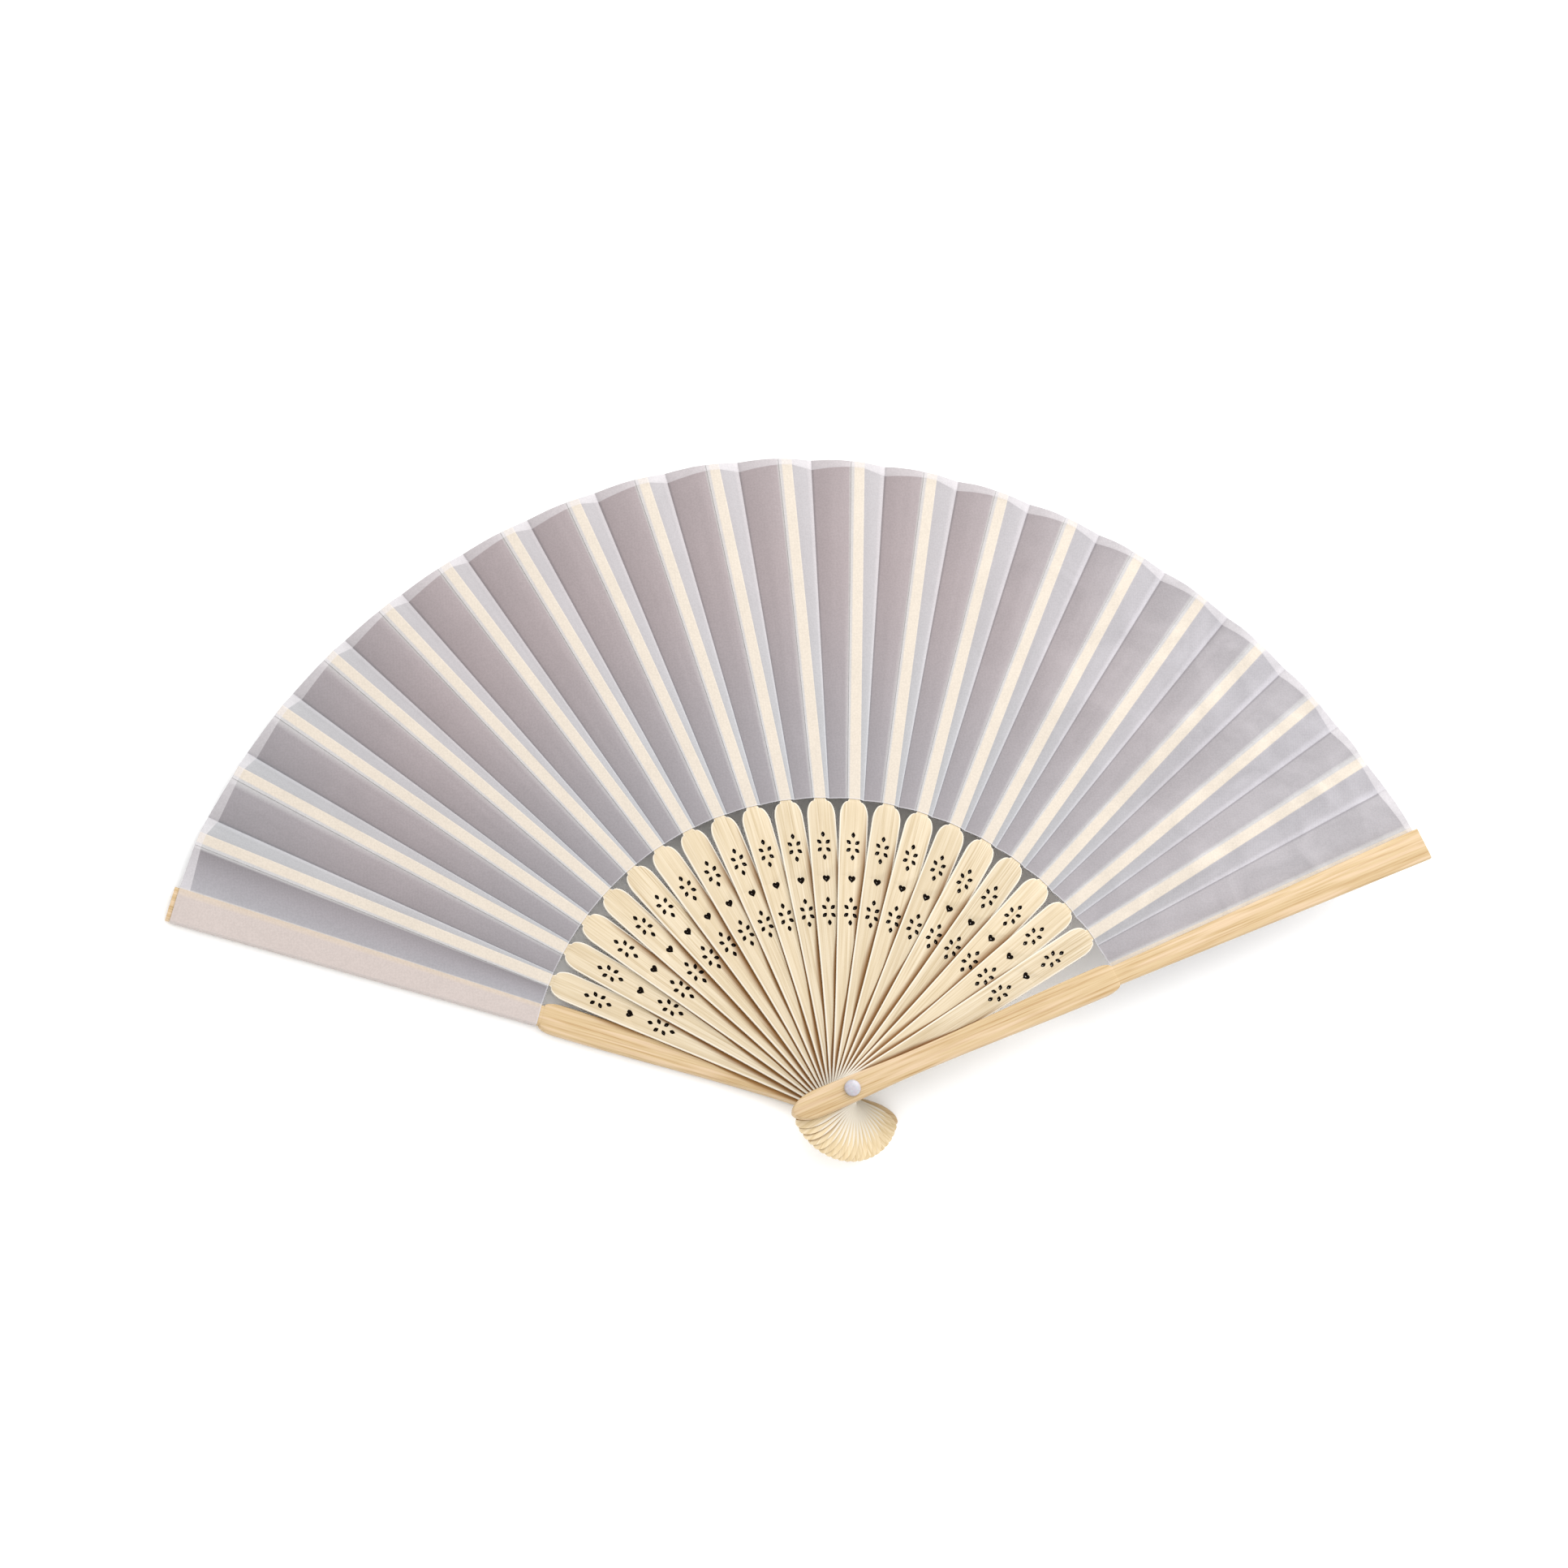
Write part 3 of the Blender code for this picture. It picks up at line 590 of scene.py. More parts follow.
petal = prism(PETAL_SIDES, petal_rim, sizes["Hole Bottom Share"])
heart = prism(HEART_SIDES, heart_rim, sizes["Hole Bottom Share"])
pin_hole = prism(PIN_SIDES, pin_rim, 1.0)
side_points = pierce("MeshGrid", pierce("Math MULTIPLY", sizes["Side Petal Along"], 2.0),
                     pierce("Math MULTIPLY", sizes["Side Petal Aside"], 2.0), 2, 2)
petal_points = pierce("JoinGeometry", [pair_of_points(0.0, sizes["End Petal Offset"]), side_points])
outwards = pierce("AlignRotationToVector", Vector=pierce("InputPosition"), axis="X")
flower = pierce("InstanceOnPoints", petal_points, Instance=petal, Rotation=outwards)
flower_points = pair_of_points(sizes["Heart Place"], sizes["Flower Spacing"])
flowers = pierce("InstanceOnPoints", flower_points, Instance=flower)
placed_heart = pierce("Transform", heart, pierce("CombineXYZ", sizes["Heart Place"]))
pattern = pierce("JoinGeometry", [flowers, placed_heart])
chosen = pierce("Switch", sizes["Patterned"], input_type="GEOMETRY", **{"True": pattern})
cutters = pierce("RealizeInstances", pierce("JoinGeometry", [chosen, pin_hole]))
cut = pierce("MeshBoolean DIFFERENCE", sizes["Geometry"], cutters, solver="EXACT")

# %% Coordinates for the grain, and char on the walls of the holes
own_place = pierce("InputPosition")
with_place = pierce("StoreNamedAttribute", cut, Name="stick_place", Value=own_place, **VECTOR_ON_POINTS)
with_facts = pierce("StoreNamedAttribute", with_place, Name="stick_facts", Value=sizes["Stick Facts"],
                    **VECTOR_ON_POINTS)
dressed = pierce("SetMaterial", pierce("RealizeInstances", with_facts), Material=sizes["Bamboo"])
facing_up = pierce("SeparateXYZ", pierce("InputNormal")).outputs["Z"]
along_stick, off_middle, _ = pierce("SeparateXYZ", own_place).outputs
upright = pierce("Math LESS_THAN", pierce("Math ABSOLUTE", facing_up), WALL_TILT)
inside = pierce("Math LESS_THAN", pierce("Math ABSOLUTE", off_middle), HOLE_REACH)
before_neck = pierce("Math LESS_THAN", along_stick, HEAD_REACH - SHOULDER_LENGTH)
past_tail = pierce("Math GREATER_THAN", along_stick, TAIL_ROUND - TAIL_REACH)
wall = pierce("Math MULTIPLY", pierce("Math MULTIPLY", upright, inside),
              pierce("Math MULTIPLY", before_neck, past_tail))
feed(piercing, pierced["Geometry"], pierce("SetMaterial", dressed, wall, sizes["Char"]))
print("piercing tree:", len(piercing.nodes), "nodes")

# %% [markdown]
# ## Ribs and guards
#
# Each blank goes through the piercing tree and is then turned to its heading and lifted to its
# level, in its mesh, so that its object stays at the origin. It stands for its measured solid and
# rides on the same body.

# %% Make the sticks
PATTERN = {"Heart Place": HEAD_REACH - 22.9 * MM, "Flower Spacing": 9.6 * MM, "Petal Length": 1.85 * MM,
           "Petal Width": 1.25 * MM, "End Petal Offset": 3.35 * MM, "Side Petal Along": 1.15 * MM,
           "Side Petal Aside": 1.25 * MM, "Heart Size": 2.3 * MM, "Pin Hole Width": 2.52 * MM}
CUT_OVERRUN = 0.05 * MM
HOLE_BOTTOM_SHARE = 0.1
SHARP_ANGLE = math.radians(35)


def stick_facts(index):
    """A stick's number, and the slope and half width of the stick on top of it, if there is one."""
    if index > RIB_COUNT:
        return Vector((index * NUMBER_STEP, 0, -1))
    top = GUARD if index == RIB_COUNT else RIB
    step = headings[index] - headings[index + 1]
    return Vector((index * NUMBER_STEP, math.tan(step), (top["waist"] + top["head"]) / 4))


def finish_stick(index, stick, bamboo):
    """One stick, pierced, turned to its heading and riding on its body."""
    name = stick_names[index]
    values = {**PATTERN, "Cut Bottom": -CUT_OVERRUN, "Cut Top": stick["thickness"] + CUT_OVERRUN,
              "Hole Bottom Share": HOLE_BOTTOM_SHARE, "Patterned": stick is not GUARD,
              "Stick Facts": stick_facts(index), "Bamboo": bamboo, "Char": charred_bamboo}
    piece = grow(stick_blank(name + "_blank", stick), piercing, values, "bamboo_" + name)
    piece.data.transform(Matrix.Translation((0, 0, levels[index])) @ Matrix.Rotation(headings[index], 4, "Z"))
    piece.data.shade_smooth()
    piece.data.set_sharp_from_angle(angle=SHARP_ANGLE)
    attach(piece, body_names[index])
    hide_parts(name)
    return piece


sticks = [finish_stick(0, GUARD, guard_bamboo)]
for index in range(1, RIB_COUNT + 1):
    sticks.append(finish_stick(index, rib_shape(index), rib_bamboo))
sticks.append(finish_stick(RIB_COUNT + 1, GUARD, guard_bamboo))
print("sticks:", len(sticks), "with", sum(len(s.data.polygons) for s in sticks), "faces")

# %% [markdown]
# ## Rivet
#
# A steel pin holds a white plastic cap on each end. The front cap is a smooth dome and the back
# cap a low button. All three are turned shapes, so each point of a profile becomes a ring about
# the rivet's axis, and their places come from the measured solids.

# %% Turn the rivet's pieces
TURN_STEPS = 48
DOME_STEPS = 10
FRONT_CAP_RIM = 0.4 * MM
CAP_EDGE_ROUND = 0.3 * MM
CAP_BORE_CLEARANCE = 0.03 * MM
CAP_BORE_OVERRUN = 0.1 * MM
MOULD_MARK = 0.8 * MM
DRAW_MARK = 0.3 * MM


def turned(name, profile, material, node):
    """A closed round piece from (radius, height) points, the first and last on the axis."""
    turns = [2 * math.pi * k / TURN_STEPS for k in range(TURN_STEPS)]
    mesh = skinned(name, [
        [(radius * math.cos(a), radius * math.sin(a), height) for a in turns] if radius
        else [(0, 0, height)] for radius, height in profile])
    mesh.shade_smooth()
    mesh.set_sharp_from_angle(angle=SHARP_ANGLE)
    mesh.materials.append(material)
    piece = put_in_scene(name, mesh)
    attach(piece, "root")
    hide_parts(node)
    return piece


def quarter(centre_radius, centre_height, radius, height):
    """A quarter ellipse, from its rim up to its top."""
    turns = [math.pi / 2 * k / DOME_STEPS for k in range(DOME_STEPS + 1)]
    return [(centre_radius + radius * math.cos(a), centre_height + height * math.sin(a)) for a in turns]


# Injection-moulded polypropylene: a smooth, slightly milky surface with a soft highlight.
cap_plastic, cap_tree, cap_shader = new_material(
    "moulded white polypropylene", "A6A2A9", 0.28, Subsurface_Weight=0.15, Subsurface_Scale=0.001)
mould_marks = add_node(cap_tree, "TexNoise", Vector=add_node(cap_tree, "TexCoord").outputs["Object"],
                       Scale=1 / MOULD_MARK)
feed(cap_tree, cap_shader.inputs["Base Color"], add_node(
    cap_tree, "ValToRGB", mould_marks, stops=[(0.3, "A19DA5"), (0.7, "ABA8AD")]))

# Drawn steel wire: slightly dull, and unevenly so where the die rubbed it.
pin_steel, steel_tree, steel_shader = new_material("drawn steel wire", "B8B8BA", 0.35, Metallic=1.0)
draw_marks = add_node(steel_tree, "TexNoise", Vector=add_node(steel_tree, "TexCoord").outputs["Object"],
                      Scale=1 / DRAW_MARK)
feed(steel_tree, steel_shader.inputs["Roughness"], add_node(
    steel_tree, "MapRange", draw_marks, To_Min=0.28, To_Max=0.45))

pin_low, pin_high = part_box("rivet_pin")
pin_radius = pin_high.x
turned("steel_pin", [(0, pin_low.z), (pin_radius, pin_low.z), (pin_radius, pin_high.z), (0, pin_high.z)],
       pin_steel, "rivet_pin")
cap_low, cap_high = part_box("rivet_front_cap")
cap_radius = cap_high.x
bore = pin_radius + CAP_BORE_CLEARANCE
front_bore_top = pin_high.z + CAP_BORE_OVERRUN
dome = quarter(0, cap_low.z + FRONT_CAP_RIM, cap_radius, cap_high.z - cap_low.z - FRONT_CAP_RIM)
turned("front_cap", [(0, front_bore_top), (bore, front_bore_top), (bore, cap_low.z), (cap_radius, cap_low.z)]
       + dome[:-1] + [(0, cap_high.z)], cap_plastic, "rivet_front_cap")
button_low, button_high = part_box("rivet_back_cap")
back_bore_bottom = pin_low.z - CAP_BORE_OVERRUN
edge = quarter(cap_radius - CAP_EDGE_ROUND, button_low.z + CAP_EDGE_ROUND, CAP_EDGE_ROUND, -CAP_EDGE_ROUND)
turned("back_cap", [(0, button_low.z)] + edge[::-1] + [
    (cap_radius, button_high.z), (bore, button_high.z), (bore, back_bore_bottom), (0, back_bore_bottom)],
    cap_plastic, "rivet_back_cap")
print("rivet: caps", round(2 * cap_radius / MM, 1), "mm across")

# %% [markdown]
# ## Silk
#
# The leaf is thin plain-woven silk, glued on the slips. Over a slip the pale bamboo shows through
# it as cream, with a whitish highlight painted along the ridge on its left. Between the slips it
# is a cool grey, and the pleats' light and shade is painted in: lighter on the panel that falls to
# the right, darker on the one that climbs back and a little darker just beside the slip. Towards
# the rim it turns warmer, save beside the back guard. At the bottom of each pleat a thin highlight
# is painted along the fold with a soft painted shadow line beside it, and the doubled hem and the
# raw inner edge are whitish. Over the back guard the silk looks pink, with a peach strip where the
# guard's edge shines through, and its panel is painted darker towards the first slip, as a fold's
# shadow. Towards the front guard the silk is drawn tight and turns lilac on both panels, and the
# light and shade of soft wrinkles is painted on it.
#
# All of this follows the pleat, so the colours are read from the attribute pleat_place: how far
# across the pleat, how far out along it, and how far through its rows. The weave itself is finer
# than a picture this size can hold, so its threads are drawn about four times too coarse.

# %% Make the silk
THREAD = 0.8 * MM
WAVE_LENGTH = 0.314  # of Blender's wave texture, at a scale of 1
WEAVE_RELIEF = 0.05 * MM
FLECK = 0.5 * MM
FLECK_BRIGHTNESSES = (0.95, 1.05)
# The painted light and shade of soft wrinkles: its size and how strong it grows towards the front guard.
WRINKLE_SHADING_SIZE = 16.0 * MM
WRINKLE_SHADING_SHARES = (0.1, 0.6)
WARM_OUTWARDS = (0.05, 0.75)
COOL_SILK = (-165.0 * MM, -90.0 * MM)
TIGHT_SILK = (30.0 * MM, 150.0 * MM)
CREASE_AT_SHARE = 0.25
VALLEY_AT_SHARE = 0.5
SLIP_LEFT_SHARE = 0.11
SLIP_NARROWS_BY_SHARE = 0.10
SLIP_LEFT_BLUR = (-0.012, 0.022)
SLIP_RIGHT_BLUR = (0.246, 0.256)
GUARD_EDGE_BLUR = (0.49, 0.51)
HEM_ROW_SHARE = 0.86
HEM_BLUR = (HEM_ROW_SHARE - 0.002, HEM_ROW_SHARE + 0.006)
RAW_EDGE_BLUR = (0.001, 0.004)
EDGE_WHITE_SHARE = 0.5
HEM_WHITE = "BEBABC"
RAW_EDGE_WHITE = "BDBBBF"


def silk_material(name, cool_stops, warm_stops, tight_stops=None, slip=None):
    """Silk with its colours across the pleat: cool near the ribs' heads, warm near the rim and, on
    a pleat over a slip, another set where the silk is tight."""
    material, tree, shader = new_material(name, "9B9699", 0.55, Sheen_Weight=0.2, Sheen_Roughness=0.4)
    add = partial(add_node, tree)
    place = add("Attribute", attribute_name="pleat_place").outputs["Vector"]
    across, along, rows = add("SeparateXYZ", place).outputs
    position = add("TexCoord").outputs["Object"]
    sideways = add("SeparateXYZ", position).outputs["X"]

    warm_share = add("Math MULTIPLY", add("MapRange", along, *WARM_OUTWARDS, **SMOOTH),
                     add("MapRange", sideways, *COOL_SILK, **SMOOTH))
    colour = add("Mix", warm_share, add("ValToRGB", across, stops=cool_stops),
                 add("ValToRGB", across, stops=warm_stops), **COLOURS)
    if slip:
        tight_colour = add("ValToRGB", across, stops=tight_stops)
        colour = add("Mix", add("MapRange", sideways, *TIGHT_SILK, **SMOOTH), colour, tight_colour, **COLOURS)
        slip_left = add("Math MULTIPLY", CREASE_AT_SHARE, add(
            "Math MULTIPLY_ADD", along, SLIP_NARROWS_BY_SHARE, SLIP_LEFT_SHARE))
        blur_ends = [add("Math ADD", slip_left, blur) for blur in SLIP_LEFT_BLUR]
        past_left = add("MapRange", across, *blur_ends, **SMOOTH)
        before_right = add("MapRange", across, *SLIP_RIGHT_BLUR, 1.0, 0.0, **SMOOTH)
        colour = add("Mix", add("Math MULTIPLY", past_left, before_right), colour, linear(slip), **COLOURS)
    hem = add("MapRange", rows, *HEM_BLUR, 0.0, EDGE_WHITE_SHARE, **SMOOTH)
    if not slip:
        hem = add("Math MULTIPLY", hem, add("MapRange", across, *GUARD_EDGE_BLUR, **SMOOTH))
    hemmed = add("Mix", hem, colour, linear(HEM_WHITE), **COLOURS)
    raw_edge = add("MapRange", along, *RAW_EDGE_BLUR, EDGE_WHITE_SHARE, 0.0, **SMOOTH)
    edged = add("Mix", raw_edge, hemmed, linear(RAW_EDGE_WHITE), **COLOURS)

    # Fine flecks of uneven thread, and the light and shade of soft wrinkles painted where the silk is tight.
    flecks = add("TexNoise", Vector=position, Scale=1 / FLECK, Detail=2.0)
    wrinkle_shading_noise = add("TexNoise", Vector=position, Scale=1 / WRINKLE_SHADING_SIZE, Detail=3.0, Distortion=1.2)
    painted_wrinkle_shading = add("Math MULTIPLY", add("Math SUBTRACT", wrinkle_shading_noise, 0.5),
                   add("MapRange", sideways, *TIGHT_SILK, *WRINKLE_SHADING_SHARES, **SMOOTH))
    flecked = add("MapRange", flecks, 0.3, 0.7, *FLECK_BRIGHTNESSES, **SMOOTH)
    flecked_and_shaded = add("HueSaturation", Color=edged, Value=add("Math ADD", painted_wrinkle_shading, flecked))
    feed(tree, shader.inputs["Base Color"], flecked_and_shaded)

    # The threads cross at right angles, along the middle of the fan and across it.
    threads = [add("TexWave", Vector=position, Scale=WAVE_LENGTH / THREAD, Distortion=0.6, Detail=1.0,
                   bands_direction=direction).outputs["Fac"] for direction in ("X", "Y")]
    weave = add("Bump", Height=add("Math ADD", *threads), Strength=0.12, Distance=WEAVE_RELIEF)
    feed(tree, shader.inputs["Normal"], weave)
    return material


def pleat_stops(line, shade_beside_slip, falling, glint, fold, climbing, even_until_share):
    """Colours across a pleat, with its light and shade painted in: the highlight by the ridge, the
    falling panel with its shade beside the slip, the fold's highlight and shadow line, and the
    climbing panel.
    """
    return [(0.0, line), (0.2, falling), (0.26, shade_beside_slip), (0.43, falling), (0.475, glint),
            (0.49, glint), (0.5, fold), (0.53, climbing), (even_until_share, climbing), (0.985, line)]


# These stops paint the pleats' light and shade: first the highlight by the ridge, then the shade beside the
# slip, the lit falling panel, the fold's highlight, its shadow line and the darker climbing panel.
silk = silk_material("plain-woven silk over a slip",
                     pleat_stops("A5A3A3", "8D8D8F", "969698", "A6A6A9", "747276", "837E81", 0.9),
                     pleat_stops("A5A19F", "8F8B8D", "989496", "A8A3A5", "756D6F", "8D8283", 0.955),
                     pleat_stops("A5A3A3", "949195", "979498", "A8A5AA", "787478", "898588", 0.94), "B7ADA0")
# Over the back guard: pink, the peach strip and the grey panel, which is painted darker towards the first
# slip as a fold's shadow; the last colour is the highlight by the ridge.
guard_silk = silk_material("plain-woven silk over the guard", [
    (0.0, "A89D98"), (0.38, "A89D98"), (0.42, "ADA095"), (0.492, "AFA090"), (0.50, "AAA5A2"),
    (0.515, "8C8A8E"), (0.75, "817D81"), (0.955, "6F6A6D"), (0.985, "A5A3A3")], [
    (0.0, "A79B96"), (0.38, "A79B96"), (0.42, "AB9D92"), (0.492, "AD9F90"), (0.50, "AAA4A0"),
    (0.515, "858184"), (0.75, "837C7F"), (0.955, "837C7F"), (0.985, "A5A19F")])
print("silk:", len(silk.node_tree.nodes), "nodes")

# %% [markdown]
# ## A pleat
#
# A pleat is a strip of silk with four fold lines: where it comes up beside its slip, the slip's
# other edge, the valley, and the ridge at the next stick. A Geometry Nodes tree bends a flat grid
# over those lines, which are its inputs, lets the silk rise in a soft curve from the valley,
# ruffles it a little with a seeded noise, and gives it the thickness of cloth and of the hem.
# The hem's inner edge is further in at the valleys than at the ridges, as it is on the real leaf.
# The first pleat also hangs down the back guard's outer side, by a wrap that is nought elsewhere.

# %% The tree that folds a pleat
HEM_STEP_SHARE = 0.01
RUFFLES = (5.0, 2.2)  # across the pleat and along it
RUFFLES_GROW = (0.0, 0.4)
AXIS_BY_AXIS = {"data_type": "VECTOR", "factor_mode": "NON_UNIFORM"}
FOLD_LABELS = [fold + end for fold in ("Ridge", "Crease", "Valley", "Next Ridge")
               for end in (" Inner", " Outer")]
folding, cloth, folded = new_geometry_tree("folded pleat", {
    **{label: Vector for label in FOLD_LABELS}, "Columns": int, "Rows": int, "Leaf Depth": float,
    "Hem At Ridge": float, "Hem At Valley": float, "Silk Thickness": float, "Hem Thickness": float,
    "Ruffle Height": float, "Ruffle Seed": float, "Wrap Share": float, "Wrap Drop": float,
    "Thickness Way": Vector, "Silk": bpy.types.Material})
bend = partial(add_node, folding)

flat = bend("MeshGrid", 1.0, 1.0, cloth["Columns"], cloth["Rows"])
grid_x, grid_y, _ = bend("SeparateXYZ", bend("InputPosition")).outputs
column = bend("Math ADD", grid_x, 0.5)
row = bend("Math ADD", grid_y, 0.5)
over_slip_share = bend("MapRange", column, cloth["Wrap Share"], CREASE_AT_SHARE)
falling_share = bend("MapRange", column, CREASE_AT_SHARE, VALLEY_AT_SHARE)
rising_share = bend("MapRange", column, VALLEY_AT_SHARE, 1.0)
climb = bend("Math SINE", bend("Math MULTIPLY", rising_share, math.pi / 2))
near_valley = bend("Math MULTIPLY", falling_share, bend("Math SUBTRACT", 1.0, rising_share))
hem_width = bend("MapRange", near_valley, 0.0, 1.0, cloth["Hem At Ridge"], cloth["Hem At Valley"])
hem_share = bend("Math DIVIDE", hem_width, cloth["Leaf Depth"])
up_to_hem = bend("MapRange", row, 0.0, HEM_ROW_SHARE, 0.0, bend("Math SUBTRACT", 1.0, hem_share))
in_hem = bend("MapRange", row, HEM_ROW_SHARE, 1.0, 0.0, hem_share)
out_share = bend("Math ADD", up_to_hem, in_hem)
kept = bend("StoreNamedAttribute", flat, Name="pleat_place",
            Value=bend("CombineXYZ", column, out_share, row), **VECTOR_ON_POINTS)
ends = []
for end in (" Inner", " Outer"):
    place = bend("Mix", over_slip_share, cloth["Ridge" + end], cloth["Crease" + end], **AXIS_BY_AXIS)
    place = bend("Mix", falling_share, place, cloth["Valley" + end], **AXIS_BY_AXIS)
    climbing = bend("CombineXYZ", rising_share, rising_share, climb)
    ends.append(bend("Mix", climbing, place, cloth["Next Ridge" + end], **AXIS_BY_AXIS))
on_fold = bend("Mix", out_share, *ends, **AXIS_BY_AXIS)

ruffle_place = bend("CombineXYZ", *[
    bend("Math MULTIPLY", share, ruffles) for share, ruffles in zip((column, out_share), RUFFLES)])
ruffle = bend("TexNoise", Vector=ruffle_place, W=cloth["Ruffle Seed"], Scale=1.0, Detail=2.0,
              Roughness=0.45, noise_dimensions="4D")
loose = bend("Math ADD", *[
    bend("Math SINE", bend("Math MULTIPLY", share, math.pi)) for share in (falling_share, rising_share)])
swing = bend("Math MULTIPLY", bend("Math SUBTRACT", ruffle, 0.5), cloth["Ruffle Height"])
waved = bend("Math MULTIPLY", bend("Math MULTIPLY", swing, loose),
             bend("MapRange", out_share, *RUFFLES_GROW))
in_wrap = bend("Math LESS_THAN", column, bend("Math MULTIPLY", cloth["Wrap Share"], 0.5))
lift = bend("Math SUBTRACT", waved, bend("Math MULTIPLY", in_wrap, cloth["Wrap Drop"]))
bent = bend("SetPosition", kept, Position=on_fold, Offset=bend("CombineXYZ", 0.0, 0.0, lift))

# %% Thickness, hem and closed edges
raised = bend("ExtrudeMesh", bent, Offset=cloth["Thickness Way"], Offset_Scale=cloth["Silk Thickness"],
              Individual=False, mode="FACES")
stored = bend("InputNamedAttribute", "pleat_place", data_type="FLOAT_VECTOR")
stored_row = bend("SeparateXYZ", stored).outputs["Z"]
hem_extra = bend("Math SUBTRACT", cloth["Hem Thickness"], cloth["Silk Thickness"])
hem_step = bend("MapRange", stored_row, HEM_ROW_SHARE, HEM_ROW_SHARE + HEM_STEP_SHARE)
hem_lift = bend("CombineXYZ", 0.0, 0.0, bend("Math MULTIPLY", hem_step, hem_extra))
hemmed = bend("SetPosition", raised, raised.outputs["Top"], Offset=hem_lift)
shell = bend("JoinGeometry", [hemmed, bend("FlipFaces", bent)])
closed = bend("MergeByDistance", shell, Distance=MERGE_DISTANCE)
coloured = bend("SetMaterial", bend("RealizeInstances", closed), Material=cloth["Silk"])
feed(folding, folded["Geometry"], coloured)
print("folding tree:", len(folding.nodes), "nodes")

# %% [markdown]
# ## Where the leaf folds
#
# The fold lines follow from the sticks: the leaf lies on a slip from just left of it to its right
# edge, falls to a valley in the gap and climbs to the next stick. The valleys get shallower
# towards the right, and they flare out a little so that the trimmed edge looks even from the
# front. Each pleat tucks its end under the next. The first pleat is glued round the back guard's
# outer side and over its face, and a last strip is glued under the front guard.

# %% Fold lines of every pleat
LEAF_START = HEAD_REACH + 0.9 * MM
LEAF_DEPTH = LEAF_REACH - LEAF_START
GLUE_GAP = 0.04 * MM
RIDGE_TUCK = 0.25 * MM
TUCK_DEPTH = 0.17 * MM
RIDGE_ASIDES = (0.4 * MM, 1.0 * MM)
CREASE_INSET = 0.1 * MM
VALLEY_DEPTH_INSIDE = 0.6 * MM
VALLEY_DEPTHS = (4.2 * MM, 2.8 * MM)
VALLEY_FLARES = (0.3 * MM, 1.6 * MM)
VALLEY_ANGLES = (math.radians(2.7), math.radians(3.55))
VALLEY_ANGLE_POWER = 1.8
TABLE_CLEARANCE = 0.3 * MM
COVER_REACH_RISE = 0.6 * MM
WRAP_DROP = 2.5 * MM
FRONT_RIDGE_OUTSIDE = 1.5 * MM
TAB_WIDTH = 4.6 * MM
SILK_THICKNESS = 0.1 * MM
HEM_THICKNESS = 0.15 * MM


def edge_aside(stick, radius, side):
    """How far left of its middle a stick's upper edge lies; side is 1 for left, -1 for right."""
    share = (radius - HEAD_REACH) / (stick["reach"] - HEAD_REACH)
    half_width = (stick["root"] + (stick["tip"] - stick["root"]) * share) / 2
    return stick["lean"] * share + side * half_width


def fold_ends(index, radii, asides, heights, turned_by=0.0):
    """The inner and outer end of a fold, given in a stick's frame, as points in the fan's frame."""
    ends = []
    for radius, aside, height in zip(radii, asides, heights):
        turn = headings[index] + math.asin(aside / radius) + turned_by
        ends.append(Vector((radius * math.cos(turn), radius * math.sin(turn), levels[index] + height)))
    return ends


def rib_asides(index, side, inside=0.0, outside=0.0):
    """How far left of a rib's middle the leaf lies when it clears the slip's edge by so much."""
    rib = rib_shape(index)
    return edge_aside(rib, LEAF_START, side) + inside, edge_aside(rib, leaf_reach(index), side) + outside


def guard_asides(reach, side, extra=0.0):
    """The same for a guard, from the leaf's start to its reach."""
    return tuple(edge_aside(GUARD, radius, side) + extra for radius in (LEAF_START, reach))


def ridge_ends(index, tuck=0.0, drop=0.0):
    """Where the leaf comes up to a stick from its left, or where the pleat before tucks under it."""
    if index > RIB_COUNT:
        reach = leaf_reach(index)
        height = -GLUE_GAP - HEM_THICKNESS - drop
        return fold_ends(index, (LEAF_START, reach), guard_asides(reach, 1, FRONT_RIDGE_OUTSIDE - tuck),
                         (height, height))
    height = RIB["upper"] + GLUE_GAP - drop
    asides = rib_asides(index, 1, *(aside - tuck for aside in RIDGE_ASIDES))
    return fold_ends(index, (LEAF_START, leaf_reach(index)), asides, (height, height))


def back_pleat_folds():
    """The leaf glued round the back guard and over its face, and its panel up to the first rib."""
    height = GUARD["thickness"] + GLUE_GAP
    reach = leaf_reach(0) + COVER_REACH_RISE
    edge = fold_ends(0, (LEAF_START, reach), guard_asides(reach, 1, GLUE_GAP), (height, height))
    crease = fold_ends(0, (LEAF_START, reach), guard_asides(reach, -1, -CREASE_INSET), (height, height))
    middle = [start.lerp(end, 0.5) for start, end in zip(edge, crease)]
    return edge + middle + crease + ridge_ends(1, RIDGE_TUCK, TUCK_DEPTH)


def rib_pleat_folds(index):
    """One pleat: flat over the slip, down to its valley, and up to the next ridge."""
    height = RIB["upper"] + GLUE_GAP
    radii = (LEAF_START, leaf_reach(index))
    crease = fold_ends(index, radii, rib_asides(index, -1, -CREASE_INSET, -CREASE_INSET), (height, height))
    depth = min(from_first_to_last(index, VALLEY_DEPTHS), levels[index] + height - TABLE_CLEARANCE)
    outer_radius = (leaf_reach(index) + leaf_reach(index + 1)) / 2 + from_first_to_last(index, VALLEY_FLARES)
    valley = fold_ends(index, (LEAF_START, outer_radius), rib_asides(index, 1),
                       (height - VALLEY_DEPTH_INSIDE, height - depth),
                       -from_first_to_last(index, VALLEY_ANGLES, VALLEY_ANGLE_POWER))
    return ridge_ends(index) + crease + valley + ridge_ends(index + 1, RIDGE_TUCK, TUCK_DEPTH)


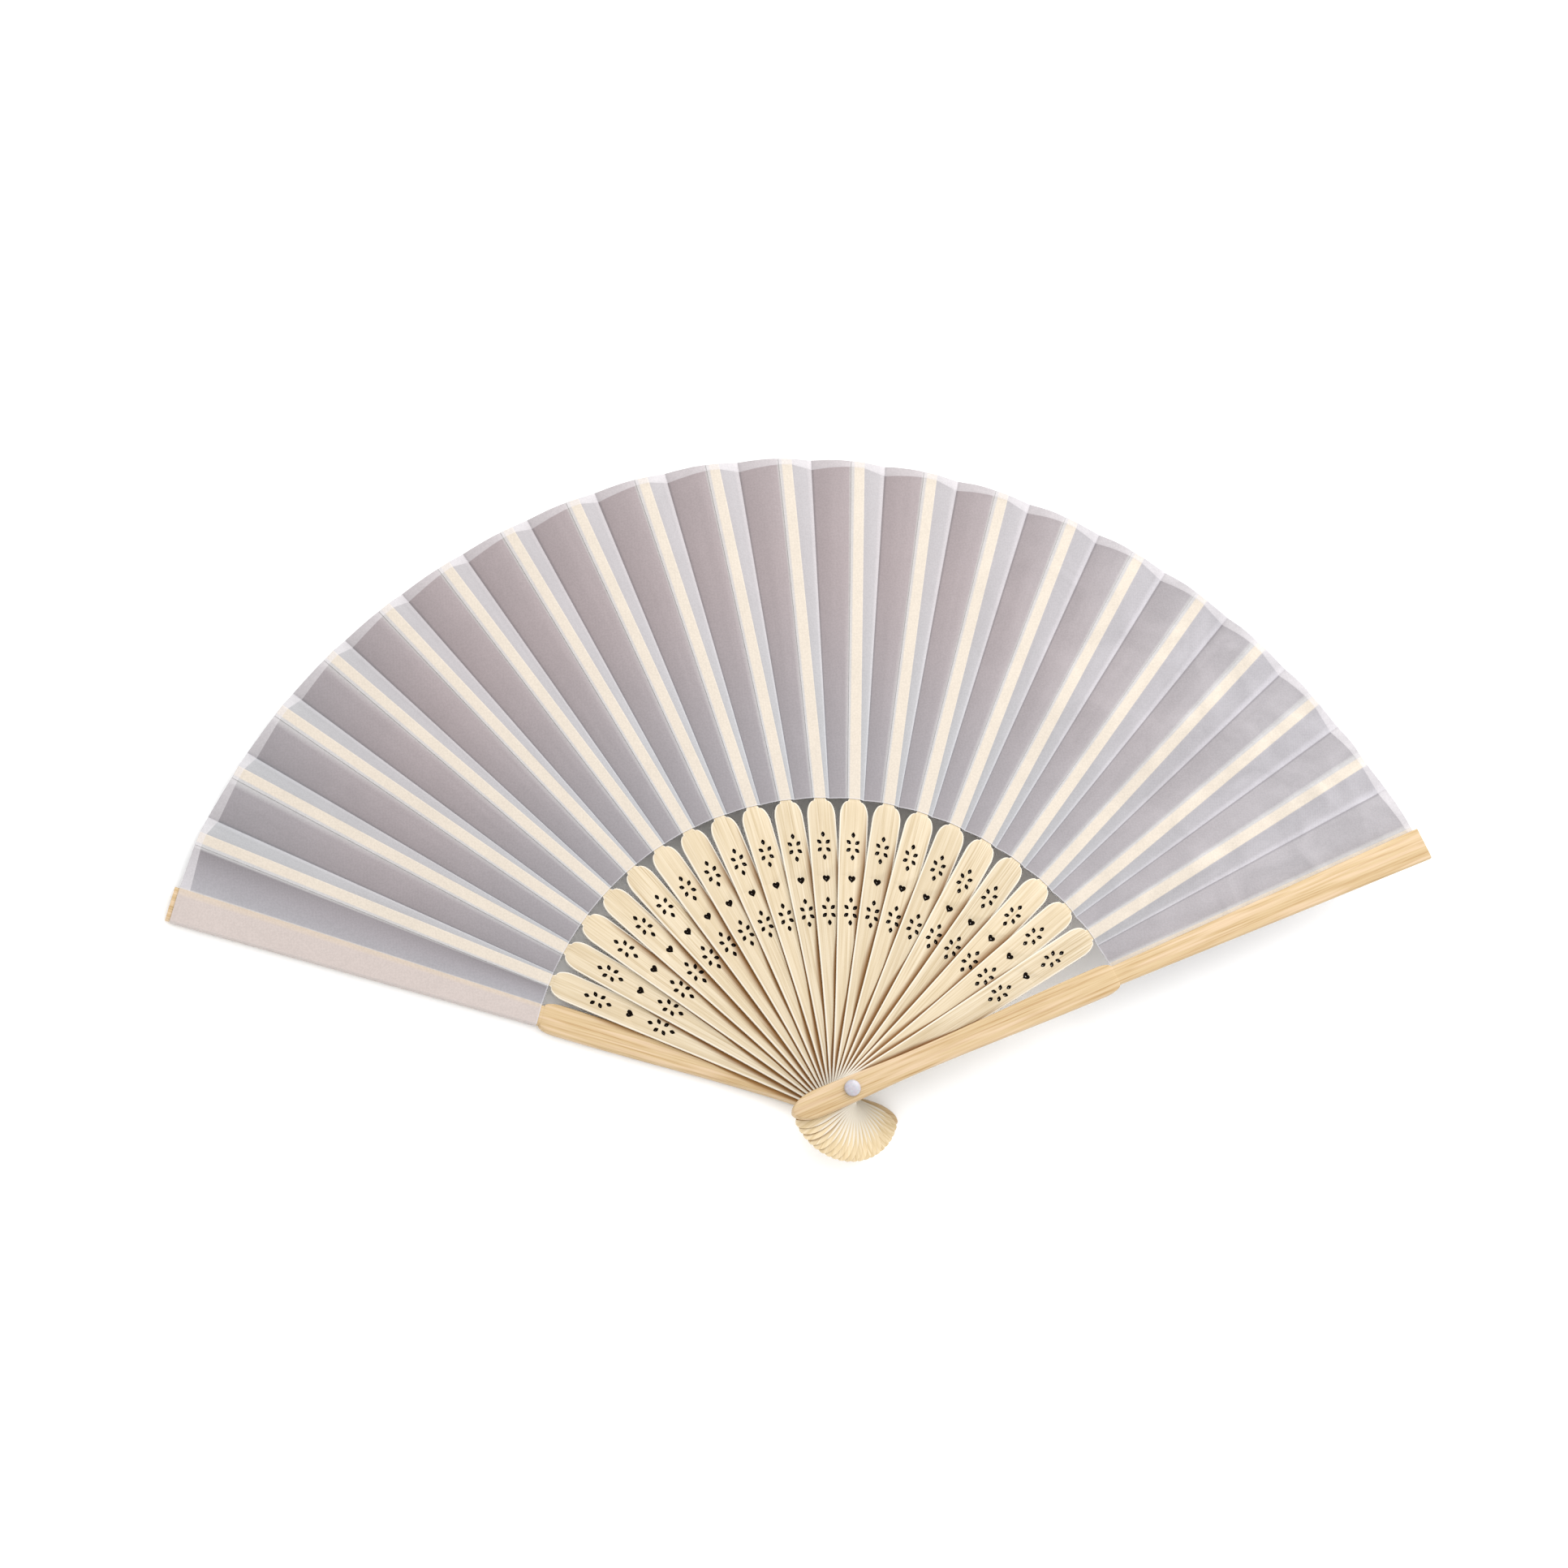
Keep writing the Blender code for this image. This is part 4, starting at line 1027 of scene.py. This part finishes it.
def tab_folds():
    """The leaf's last strip, flat under the front guard, from its ridge to its raw edge."""
    last = RIB_COUNT + 1
    reach = leaf_reach(last)
    height = -GLUE_GAP - HEM_THICKNESS
    raw = fold_ends(last, (LEAF_START, reach), guard_asides(reach, 1, -TAB_WIDTH), (height, height))
    return [start.lerp(end, share) for share in (0.0, CREASE_AT_SHARE, VALLEY_AT_SHARE, 1.0)
            for start, end in zip(ridge_ends(last), raw)]


print("leaf starts", round(LEAF_START / MM, 1), "mm from the rivet")

# %% Fold the leaf
COLUMNS = 41
ROWS = 51
HEM_AT_RIDGE = 1.8 * MM
HEM_AT_VALLEY = 3.0 * MM
RUFFLE_HEIGHT = 0.5 * MM
BACK_RUFFLE_HEIGHT = 0.1 * MM


def fold_pleat(name, folds, seed, ruffle_height, cloth_material, wrap_drop=0.0):
    """A pleat as a plain mesh, from its four fold lines."""
    outwards = Vector((-math.sin(headings[0]), math.cos(headings[0]), 0)) if wrap_drop else Vector()
    bare = put_in_scene(name + "_seed", bpy.data.meshes.new(name + "_seed"))
    values = {**dict(zip(FOLD_LABELS, folds)), "Columns": COLUMNS, "Rows": ROWS,
              "Leaf Depth": LEAF_DEPTH, "Hem At Ridge": HEM_AT_RIDGE, "Hem At Valley": HEM_AT_VALLEY,
              "Silk Thickness": SILK_THICKNESS, "Hem Thickness": HEM_THICKNESS,
              "Ruffle Height": ruffle_height, "Ruffle Seed": seed, "Wrap Drop": wrap_drop,
              "Wrap Share": 1 / (COLUMNS - 1) if wrap_drop else 0.0,
              "Thickness Way": outwards + Vector((0, 0, 1)), "Silk": cloth_material}
    piece = grow(bare, folding, values, name)
    piece.data.shade_smooth()
    piece.data.set_sharp_from_angle(angle=SHARP_ANGLE)
    return piece


def declare_silk(node):
    """Hides the measured piece that the silk stands for."""
    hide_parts(node)


pleats = []
for index in range(RIB_COUNT + 1):
    name = "silk_pleat_%02d" % index
    folds = rib_pleat_folds(index) if index else back_pleat_folds()
    if index:
        pleat = fold_pleat(name, folds, index * NUMBER_STEP, RUFFLE_HEIGHT, silk)
    else:
        pleat = fold_pleat(name, folds, 0.0, BACK_RUFFLE_HEIGHT, guard_silk, WRAP_DROP)
    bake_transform(pleat)
    place = np.zeros(len(pleat.data.vertices) * 3, np.float32)
    pleat.data.attributes["pleat_place"].data.foreach_get("vector", place)
    declare_silk("leaf_pleat_%02d" % index)
    pleats.append(pleat)
folds = tab_folds()
tab = fold_pleat("silk_end_tab", folds, 0.0, 0.0, silk)
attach(tab, "front_guard")
declare_silk("leaf_end_tab")
print("leaf:", len(pleats), "pleats with", sum(len(p.data.polygons) for p in pleats), "faces")
